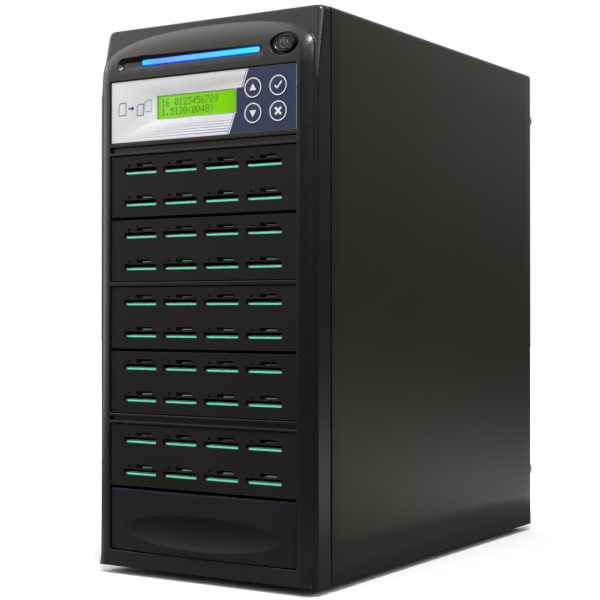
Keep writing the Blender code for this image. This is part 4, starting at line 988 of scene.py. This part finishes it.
def lower_cover():
    """The lower cover's face: a crown, y = -c (1 - (x/w)^2), with a dish sunk in it
    by d (1 - u^2 - v^2), and edges that roll back along a quarter circle. Behind
    it are a skirt and two clip legs."""
    crown, skirt, edge = 3 * mm, 2.2 * mm, 0.7 * mm
    dish_depth, dish_margin, dish_half_height, dish_drop = 2.6 * mm, 12.6 * mm, 11 * mm, 5 * mm
    leg_inset, leg_thickness, leg_height = 1 * mm, 1.6 * mm, 12 * mm
    low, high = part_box("lower_cover")
    half = high[0]
    z_low, z_high = low[2], high[2]
    centre = (z_low + z_high) / 2
    rim_y = low[1] + crown
    back_y = rim_y + skirt
    roll = edge * (1 - np.cos(np.linspace(0, quarter_turn, 6)))
    x = np.concatenate((-half + roll, np.linspace(-half + edge, half - edge, 130)[1:-1], half - roll[::-1]))
    z = np.concatenate((z_low + roll, np.linspace(z_low + edge, z_high - edge, 60)[1:-1], z_high - roll[::-1]))
    gx, gz = np.meshgrid(x, z)
    u = gx / (half - dish_margin)
    v = (gz - centre + dish_drop) / dish_half_height
    bowl = np.clip(1 - u ** 2 - v ** 2, 0.0, None)
    border = np.minimum(half - np.abs(gx), np.minimum(gz - z_low, z_high - gz))
    fall = edge * (1 - np.sqrt(1 - np.clip(1 - border / edge, 0.0, 1.0) ** 2))
    gy = rim_y - crown * (1 - (gx / half) ** 2) + dish_depth * bowl + fall
    rows, columns = gx.shape
    numbers = np.arange(rows * columns).reshape(rows, columns)
    loop = np.concatenate((numbers[0, :-1], numbers[:-1, -1], numbers[-1, :0:-1], numbers[:0:-1, 0]))
    points = np.stack((gx, gy, gz), axis=-1).reshape(-1, 3)
    back = points[loop].copy()
    back[:, 1] = back_y
    start = len(points)
    after = np.roll(np.arange(len(loop)), -1)
    walls = np.stack((loop, loop[after], start + after, start + np.arange(len(loop))), axis=-1).tolist()
    faces = grid_faces(rows, columns) + walls + [list(range(start, start + len(loop)))]
    face = shape(np.concatenate((points, back)), faces)
    outer = half - leg_inset
    legs = [(span, (back_y - let_in, high[1]), about(centre, leg_height))
            for span in ((-outer, leg_thickness - outer), (outer - leg_thickness, outer))]
    face = carve(face, blocks(legs), "UNION")
    settle(face, "lower_panel", looks["lower"], "lower_cover", ("lower_cover",), 45)


# The control panel.


def key_centres():
    """Each key's centre and radius."""
    centres = {}
    for key in ("key_up", "key_down", "key_enter", "key_cancel"):
        low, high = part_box(key)
        centres[key] = ((low[0] + high[0]) / 2, (low[2] + high[2]) / 2, (high[0] - low[0]) / 2)
    return centres


def printed(outlines, name, look, y=panel_y, body="case"):
    """A thin layer of print on a surface at depth y."""
    layer = slab(outlines, y - print_lift, y + print_root, print_edge, 1)
    return settle(layer, name, looks[look], body)


def control_film():
    """The film: white, with a window and four key holes, and its print."""
    corner, edge = 0.6 * mm, 0.12 * mm
    glass_low, glass_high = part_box("display_glass")
    window = rounded_box(glass_low[0], glass_high[0], glass_low[2], glass_high[2], corner)
    holes = [oval(x, z, radius + fit_gap, radius + fit_gap) for x, z, radius in key_centres().values()]
    outer = rounded_box(film_low[0], film_high[0], film_low[2], film_high[2], corner)
    film = slab([outer, window, *holes], panel_y, film_high[1], edge, 2)
    settle(film, "control_film", looks["film"], stands_for=("control_overlay",))
    control_print(glass_low, glass_high, holes)
    card_symbols()


def control_print(glass_low, glass_high, holes):
    """A navy field with a slanted edge and a thin line beside it, a line round the
    display's window, and stripes that run to a point on the left."""
    margin, clear = 0.13 * mm, 0.5 * mm
    head, foot = 38 * mm, 23 * mm
    line_gap, line_width = 0.9 * mm, 0.4 * mm
    frame_gap, frame_width, frame_corner = 0.1 * mm, 0.22 * mm, 0.5 * mm
    stripe_start, stripe_step, stripe_gap = 12 * mm, 9 * mm, 1.6 * mm
    stripe_lift, stripe_pitch = 2.2 * mm, 1.7 * mm
    stripe_height, stripe_change = 0.7 * mm, 0.1 * mm
    right = film_high[0] - margin
    low, high = film_low[2] + margin, film_high[2] - margin
    slope = (head - foot) / (high - low)
    over, under, beside = glass_high[2] + clear, glass_low[2] - clear, glass_high[0] + clear

    def slant(z):
        return foot + slope * (z - low)

    field = polygon([(foot, low), (right, low), (right, high), (head, high), (slant(over), over),
                     (beside, over), (beside, under), (slant(under), under)])
    printed([field, *holes], "navy_field", "navy")
    for name, bottom, top in (("field_line_low", low, under), ("field_line_high", over, high)):
        start, end = slant(bottom) - line_gap, slant(top) - line_gap
        line = polygon([(start - line_width, bottom), (start, bottom), (end, top), (end - line_width, top)])
        printed([line], name, "navy")
    border = rounded_box(glass_low[0] - frame_gap, glass_high[0] + frame_gap, glass_low[2] - frame_gap,
                         glass_high[2] + frame_gap, frame_corner)
    printed([lambda grow: border(grow + frame_width), border], "window_line", "navy")
    for index in range(5):
        z = low + stripe_lift + index * stripe_pitch
        start = film_low[0] + stripe_start + index * stripe_step
        end = slant(z) - stripe_gap
        thick = stripe_height - index * stripe_change
        stripe = polygon([(start, z), (end, z - thick / 2), (end + slope * thick, z + thick / 2)])
        printed([stripe], "stripe_" + str(index + 1), "stripe")


def card_symbols():
    """A plain sign for copying: one card, an arrow and two cards behind each other,
    drawn in millimetres from the film's left edge and the sign's middle line."""
    lift, line = 2 * mm, 0.55 * mm
    cut_share = 0.3
    origin = np.array((film_low[0], control_z + lift))

    def card(x, z, wide, high):
        cut = cut_share * wide
        corners = np.array([(x, z), (x + wide, z), (x + wide, z + high), (x + cut, z + high), (x, z + high - cut)])
        outer = polygon(origin + mm * corners)
        return [outer, lambda grow: outer(grow - line)]

    arrow = np.array([(14.6, -0.5), (17.4, -0.5), (17.4, -1.7), (19.6, 0.0), (17.4, 1.7), (17.4, 0.5), (14.6, 0.5)])
    printed(card(6.0, -4.5, 6.6, 9.0), "sign_card_one", "navy")
    printed([polygon(origin + mm * arrow)], "sign_arrow", "navy")
    printed(card(21.6, -5.4, 5.8, 8.0), "sign_card_two", "navy")
    printed(card(28.2, -3.2, 5.8, 8.0), "sign_card_three", "stripe")


def key_signs():
    """Outlines of the four key signs about the origin, in millimetres."""
    up = [(-2.6, -1.7), (2.6, -1.7), (0, 2.7)]
    down = [(2.6, 1.7), (-2.6, 1.7), (0, -2.7)]
    tick = [(-0.7, -2.4), (3.0, 2.0), (2.2, 2.7), (-0.8, -0.9), (-2.2, 0.4), (-2.9, -0.4)]
    arm = 0.55
    reach = 2.2
    cross = []
    for k in range(4):
        c, s = math.cos(k * quarter_turn), math.sin(k * quarter_turn)
        for x, z in ((reach + arm, reach - arm), (reach - arm, reach + arm), (0.0, 2 * arm)):
            cross.append((c * x - s * z, s * x + c * z))
    return {"key_up": up, "key_down": down, "key_enter": tick, "key_cancel": cross}


def keys():
    """Round keys: a flat cap with a rolled edge on a stem, printed with a ring and a sign."""
    edge, cap_thickness, stem_radius = 0.35 * mm, 1.2 * mm, 2 * mm
    ring_insets = (0.4 * mm, 1.15 * mm)
    turn = np.linspace(0, quarter_turn, 6)
    signs = key_signs()
    for key, (x, z, radius) in key_centres().items():
        low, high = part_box(key)
        front = low[1]
        cap_back = front + cap_thickness
        roll = np.stack((radius - edge * (1 - np.sin(turn)), front + edge * (1 - np.cos(turn))), axis=-1)
        cap = turned([*roll, (radius, cap_back), (stem_radius, cap_back), (stem_radius, high[1])], x, z)
        settle(cap, key + "_cap", looks["navy"], key, (key,))
        ring = [oval(x, z, radius - inset, radius - inset) for inset in ring_insets]
        printed(ring, key + "_ring", "mark", front, key)
        sign = polygon(mm * np.array(signs[key]) + np.array((x, z)))
        printed([sign], key + "_sign", "mark", front, key)


dots = {
    "0": "01110 10001 10011 10101 11001 10001 01110",
    "1": "00100 01100 00100 00100 00100 00100 01110",
    "2": "01110 10001 00001 00010 00100 01000 11111",
    "3": "11111 00010 00100 00010 00001 10001 01110",
    "4": "00010 00110 01010 10010 11111 00010 00010",
    "5": "11111 10000 11110 00001 00001 10001 01110",
    "6": "00110 01000 10000 11110 10001 10001 01110",
    "7": "11111 00001 00010 00100 01000 01000 01000",
    "8": "01110 10001 10001 01110 10001 10001 01110",
    "9": "01110 10001 10001 01111 00001 00010 01100",
    ":": "00000 01100 01100 00000 01100 01100 00000",
    "(": "00010 00100 01000 01000 01000 00100 00010",
    ")": "01000 00100 00010 00010 00010 00100 01000",
    ".": "00000 00000 00000 00000 00000 01100 01100",
    " ": "00000 00000 00000 00000 00000 00000 00000",
}


def display():
    """The display: a glossy window and, on it, two lines of characters, each a
    matrix of five by seven dots."""
    corner, edge = 0.4 * mm, 0.1 * mm
    margin = mm * np.array((3.3, 2.2))
    cell = mm * np.array((3.55, 5.95))
    pitch = mm * np.array((0.6, 0.68))
    dot = mm * np.array((0.53, 0.6))
    ink_lift, ink_root = 0.03 * mm, 0.02 * mm
    lines = ("16 0123456789", "1.5120(0040)")
    low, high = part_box("display_glass")
    outline = rounded_box(low[0], high[0], low[2], high[2], corner)
    glass = slab([outline], low[1], high[1], edge, 2)
    settle(glass, "display_window", liquid_crystal(low, high), stands_for=("display_glass",))
    spots = []
    for number, line in enumerate(lines):
        for column, letter in enumerate(line):
            on = np.array([[mark == "1" for mark in row] for row in dots[letter].split()])
            row, place = np.nonzero(on)
            x = low[0] + margin[0] + column * cell[0] + place * pitch[0]
            z = high[2] - margin[1] - number * cell[1] - row * pitch[1]
            spots.append(np.stack((x, z), axis=-1))
    spots = np.concatenate(spots)
    x_spans = np.stack((spots[:, 0], spots[:, 0] + dot[0]), axis=-1)
    z_spans = np.stack((spots[:, 1] - dot[1], spots[:, 1]), axis=-1)
    y_spans = np.broadcast_to((low[1] - ink_lift, low[1] + ink_root), x_spans.shape)
    ink = blocks(np.stack((x_spans, y_spans, z_spans), axis=1))
    settle(ink, "display_dots", looks["ink"])


# The case.


def cover_section(inset, corner):
    """The cover's section from the lower left over the top to the lower right."""
    half = half_width - inset
    top = case_top - inset
    radius = max(corner - inset, fit_gap)
    turn = np.linspace(0, quarter_turn, 9)
    side = np.linspace(case_bottom, top - radius, 14)[:-1]
    left_x = np.concatenate((np.full(len(side), -half), -half + radius * (1 - np.cos(turn))))
    left_z = np.concatenate((side, top - radius * (1 - np.sin(turn))))
    across = np.linspace(-half + radius, 0.0, 8)[1:]
    x = np.concatenate((left_x, across))
    z = np.concatenate((left_z, np.full(len(across), top)))
    return np.concatenate((x, -x[-2::-1])), np.concatenate((z, z[-2::-1]))


def cover():
    """The sheet over top and sides, carried from the seam to the rear bend and in
    along the rear flange. The broad faces bow out a little, as thin sheet does:
    b sin(pi u) sin(pi v)."""
    corner, bend, hem, lap, bow = 3 * mm, 1.6 * mm, 0.6 * mm, 0.7 * mm, 0.2 * mm
    flange_insets = mm * np.array((5.0, 9.0, 12.0))
    start = seam_y + lap
    turn = np.linspace(0, quarter_turn, 7)
    y = np.concatenate((start + hem * (1 - np.cos(turn)), np.linspace(start + hem, rear_y - bend, 26)[1:-1],
                        rear_y - bend * (1 - np.sin(turn)), np.full(3, rear_y)))
    inset = np.concatenate((hem * (1 - np.sin(turn)), np.zeros(24), bend * (1 - np.cos(turn)), flange_insets))
    rings = []
    for depth, drawn in zip(y, inset):
        x, z = cover_section(drawn, corner)
        along = math.sin(math.pi * min((depth - seam_y) / (rear_y - seam_y), 1.0))
        up = np.sin(math.pi * np.clip((z - case_bottom) / (case_top - case_bottom), 0.0, 1.0))
        rings.append(np.stack((x + bow * along * up * np.sign(x), np.full_like(x, depth), z), axis=-1))
    rings = np.array(rings)
    outer = shape(rings, grid_faces(*rings.shape[:2]))
    wall = outer.modifiers.new("wall", "SOLIDIFY")
    wall.thickness = sheet
    wall.offset = -1.0
    wall.use_even_offset = True
    settle(outer, "cover_sheet", looks["case"], stands_for=("cover",), sharp=50)


def main():
    """Every piece that has a surface of its own here."""
    moulded_front()
    light_bar()
    power_button()
    reader_plates()
    reader_boards()
    lower_cover()
    control_film()
    keys()
    display()
    cover()


def keep(nodes, look, slot, edge=0.2 * mm):
    """Nodes whose shape is right keep it and get rounded edges and a finish."""
    weld_reach = 0.002 * mm
    for node in nodes:
        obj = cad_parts[node]
        obj.data.materials.clear()
        obj.data.materials.append(looks[look])
        if edge:
            weld = obj.modifiers.new("weld", "WELD")
            weld.merge_threshold = weld_reach
            soften(obj, edge, 1)


def kept_nodes():
    """The finishes of the nodes that keep their shape."""
    trays = ["reader_tray_" + str(number) for number in range(1, 6)]
    keep(["chassis_base", "front_frame", "bay_wall_left", "bay_wall_right", "rear_panel", "control_tray",
          "psu_case", *trays], "zinc", "bare_steel")
    keep(["control_faceplate"], "reader", "reader_plastic")
    keep(["psu_inlet", "power_switch", "rear_fan_frame", "psu_fan_frame", "rear_fan_rotor",
          "psu_fan_rotor"], "fan", "fan_plastic", 0)
    keep(["psu_switch"], "button", "button_plastic", 0.3 * mm)
    keep(["light_board"], "mask", "board")
    keep(["keypad_board", "display_module", "controller_board", "psu_board"], "dark_mask", "dark_board")
    keep(["ribbon_cable"], "ribbon", "ribbon", 0)
    keep(["thumbscrew_" + str(number) for number in range(1, 5)], "nickel", "screw_steel", 0)
    keep(["foot_" + end + "_" + side for end in ("front", "rear") for side in ("left", "right")],
         "rubber", "rubber", 0)


# Camera, floor and light.


def camera():
    """The photograph's view, as a pinhole fitted to the case's edges. Its focal
    length is in pixels of the photograph's width."""
    place = (0.5477, -0.9093, 0.1755)
    yaw, pitch, roll = (math.radians(angle) for angle in (32.429, 0.511, 0.013))
    focal_length, picture_width = 1422.3, 600
    forward = np.array((-math.sin(yaw) * math.cos(pitch), math.cos(yaw) * math.cos(pitch), math.sin(pitch)))
    level = np.array((math.cos(yaw), math.sin(yaw), 0.0))
    above = np.cross(level, forward)
    right = math.cos(roll) * level + math.sin(roll) * above
    up = -math.sin(roll) * level + math.cos(roll) * above
    data = bpy.data.cameras.new("camera")
    data.lens = focal_length / picture_width * data.sensor_width
    data.clip_start = 0.01
    obj = link(bpy.data.objects.new("camera", data))
    turn = Matrix(np.stack((right, up, -forward), axis=-1).tolist()).to_4x4()
    obj.matrix_world = Matrix.Translation(place) @ turn
    bpy.context.scene.camera = obj


def softbox(name, place, target, size, power, colour=(1.0, 1.0, 1.0)):
    """A rectangular light that faces a target, its power in watts."""
    data = bpy.data.lights.new(name, "AREA")
    data.shape = "RECTANGLE"
    data.size, data.size_y = size
    data.energy = power
    data.color = colour
    obj = link(bpy.data.objects.new(name, data))
    direction = Vector(target) - Vector(place)
    obj.matrix_world = Matrix.Translation(place) @ direction.to_track_quat("-Z", "Y").to_matrix().to_4x4()


def shade_tree(data):
    """The node tree of a world or a material, with the light paths that see it as
    a background: the camera, mirrors and glass."""
    data.use_nodes = True
    nodes, links = data.node_tree.nodes, data.node_tree.links
    path = nodes.new("ShaderNodeLightPath")
    shine = nodes.new("ShaderNodeMath")
    shine.operation = "MAXIMUM"
    links.new(path.outputs["Is Glossy Ray"], shine.inputs[0])
    links.new(path.outputs["Is Transmission Ray"], shine.inputs[1])
    return nodes, links, path.outputs["Is Camera Ray"], shine.outputs[0]


def calculate(nodes, links, operation, *values):
    """A Math node on values, each a number or a socket."""
    node = nodes.new("ShaderNodeMath")
    node.operation = operation
    for socket, value in zip(node.inputs, values):
        if isinstance(value, bpy.types.NodeSocket):
            links.new(value, socket)
        else:
            socket.default_value = value
    return node.outputs[0]


def stepped(nodes, links, value, start, end, low=0.0, high=1.0):
    """A value carried smoothly from low to high between start and end."""
    node = nodes.new("ShaderNodeMapRange")
    node.interpolation_type = "SMOOTHSTEP"
    for name, number in (("From Min", start), ("From Max", end), ("To Min", low), ("To Max", high)):
        node.inputs[name].default_value = number
    links.new(value, node.inputs["Value"])
    return node.outputs["Result"]


def studio_floor():
    """White paper to the camera, whose shading shows the shadow close round the
    case, and white to mirrors behind the case. It throws little light back."""
    reach = 6.0
    corners = [(-reach, -reach, 0), (reach, -reach, 0), (reach, reach, 0), (-reach, reach, 0)]
    floor = shape(corners, [[0, 1, 2, 3]])
    floor.name = "floor"
    material = bpy.data.materials.new("floor_paper")
    nodes, links, camera_ray, shine = shade_tree(material)
    place = nodes.new("ShaderNodeTexCoord").outputs["Object"]
    split = nodes.new("ShaderNodeSeparateXYZ")
    links.new(place, split.inputs["Vector"])
    outside = []
    for axis, half in (("X", half_width), ("Y", rear_y)):
        size = calculate(nodes, links, "ABSOLUTE", split.outputs[axis])
        outside.append(calculate(nodes, links, "MAXIMUM", calculate(nodes, links, "SUBTRACT", size, half), 0.0))
    squares = [calculate(nodes, links, "MULTIPLY", value, value) for value in outside]
    away = calculate(nodes, links, "SQRT", calculate(nodes, links, "ADD", *squares))
    clear = stepped(nodes, links, away, 0.04, 0.14)
    behind = calculate(nodes, links, "MULTIPLY", stepped(nodes, links, split.outputs["Y"], 0.0, 0.3),
                       stepped(nodes, links, split.outputs["Y"], 0.35, 1.2, 0.85, 0.04))
    seen = calculate(nodes, links, "MAXIMUM", camera_ray, calculate(nodes, links, "MULTIPLY", shine, behind))
    shader = nodes["Principled BSDF"]
    links.new(calculate(nodes, links, "MULTIPLY", seen, clear), shader.inputs["Emission Strength"])
    shader.inputs["Emission Color"].default_value = (1.0, 1.0, 1.0, 1.0)
    shader.inputs["Roughness"].default_value = 0.9
    shader.inputs["Specular IOR Level"].default_value = 0.1
    thrown = stepped(nodes, links, away, 0.1, 0.4, 0.2, 0.04)
    pale = calculate(nodes, links, "MAXIMUM", thrown, calculate(nodes, links, "MULTIPLY", camera_ray, 0.88))
    tone = nodes.new("ShaderNodeCombineColor")
    for channel in ("Red", "Green", "Blue"):
        links.new(pale, tone.inputs[channel])
    links.new(tone.outputs["Color"], shader.inputs["Base Color"])
    floor.data.materials.append(material)


def studio_world():
    """A room that is dark at the horizon and light overhead. The camera sees it
    white. Mirrors see it white behind the case, and dimmer where wall and floor meet."""
    world = bpy.data.worlds.new("studio")
    bpy.context.scene.world = world
    nodes, links, camera_ray, shine = shade_tree(world)
    split = nodes.new("ShaderNodeSeparateXYZ")
    links.new(nodes.new("ShaderNodeTexCoord").outputs["Generated"], split.inputs["Vector"])
    stops = [(0.0, (0.055, 0.046, 0.033)), (0.08, (0.064, 0.057, 0.046)), (0.17, (0.12, 0.11, 0.1)),
             (0.42, (0.45, 0.44, 0.43)), (1.0, (1.0, 1.0, 1.0))]
    band = colour_band(nodes, stops)
    links.new(split.outputs["Z"], band.inputs["Fac"])
    behind = stepped(nodes, links, split.outputs["Y"], 0.85, 0.97)
    level = calculate(nodes, links, "ABSOLUTE", split.outputs["Z"])
    wall = calculate(nodes, links, "MULTIPLY", behind, stepped(nodes, links, level, 0.04, 0.17, 0.03, 1.0))
    seen = calculate(nodes, links, "MAXIMUM", camera_ray, calculate(nodes, links, "MULTIPLY", shine, wall))
    room = nodes["Background"]
    links.new(band.outputs["Color"], room.inputs["Color"])
    white = nodes.new("ShaderNodeBackground")
    white.inputs["Color"].default_value = (1.0, 1.0, 1.0, 1.0)
    blend = nodes.new("ShaderNodeMixShader")
    links.new(seen, blend.inputs["Fac"])
    links.new(room.outputs["Background"], blend.inputs[1])
    links.new(white.outputs["Background"], blend.inputs[2])
    links.new(blend.outputs["Shader"], nodes["World Output"].inputs["Surface"])


def studio():
    """Floor, room and soft boxes: a large one high on the left, weak ones in front
    on both sides, a wide one on the left, a small bright one high on the right
    and a weak one lower on the right."""
    studio_floor()
    studio_world()
    softbox("top_box", (-1.6, -0.55, 1.85), (0.0, -0.16, 0.3), (2.2, 2.2), 19)
    softbox("front_box", (0.87, -2.05, 1.7), (0.0, -0.17, 0.2), (2.4, 1.8), 12)
    softbox("fill_box", (-1.44, -1.95, 1.2), (0.0, -0.17, 0.25), (1.6, 1.4), 5)
    softbox("left_box", (-1.75, -0.6, 0.5), (0.0, -0.1, 0.2), (1.8, 1.3), 13)
    softbox("high_box", (0.62, -0.83, 1.96), (0.08, -0.16, 0.35), (0.45, 0.32), 31, (0.92, 0.96, 1.0))
    softbox("right_box", (1.7, -0.95, 1.3), (0.0, -0.1, 0.2), (0.7, 0.6), 8)


main()
kept_nodes()
camera()
studio()
bpy.context.scene.view_settings.view_transform = "Standard"
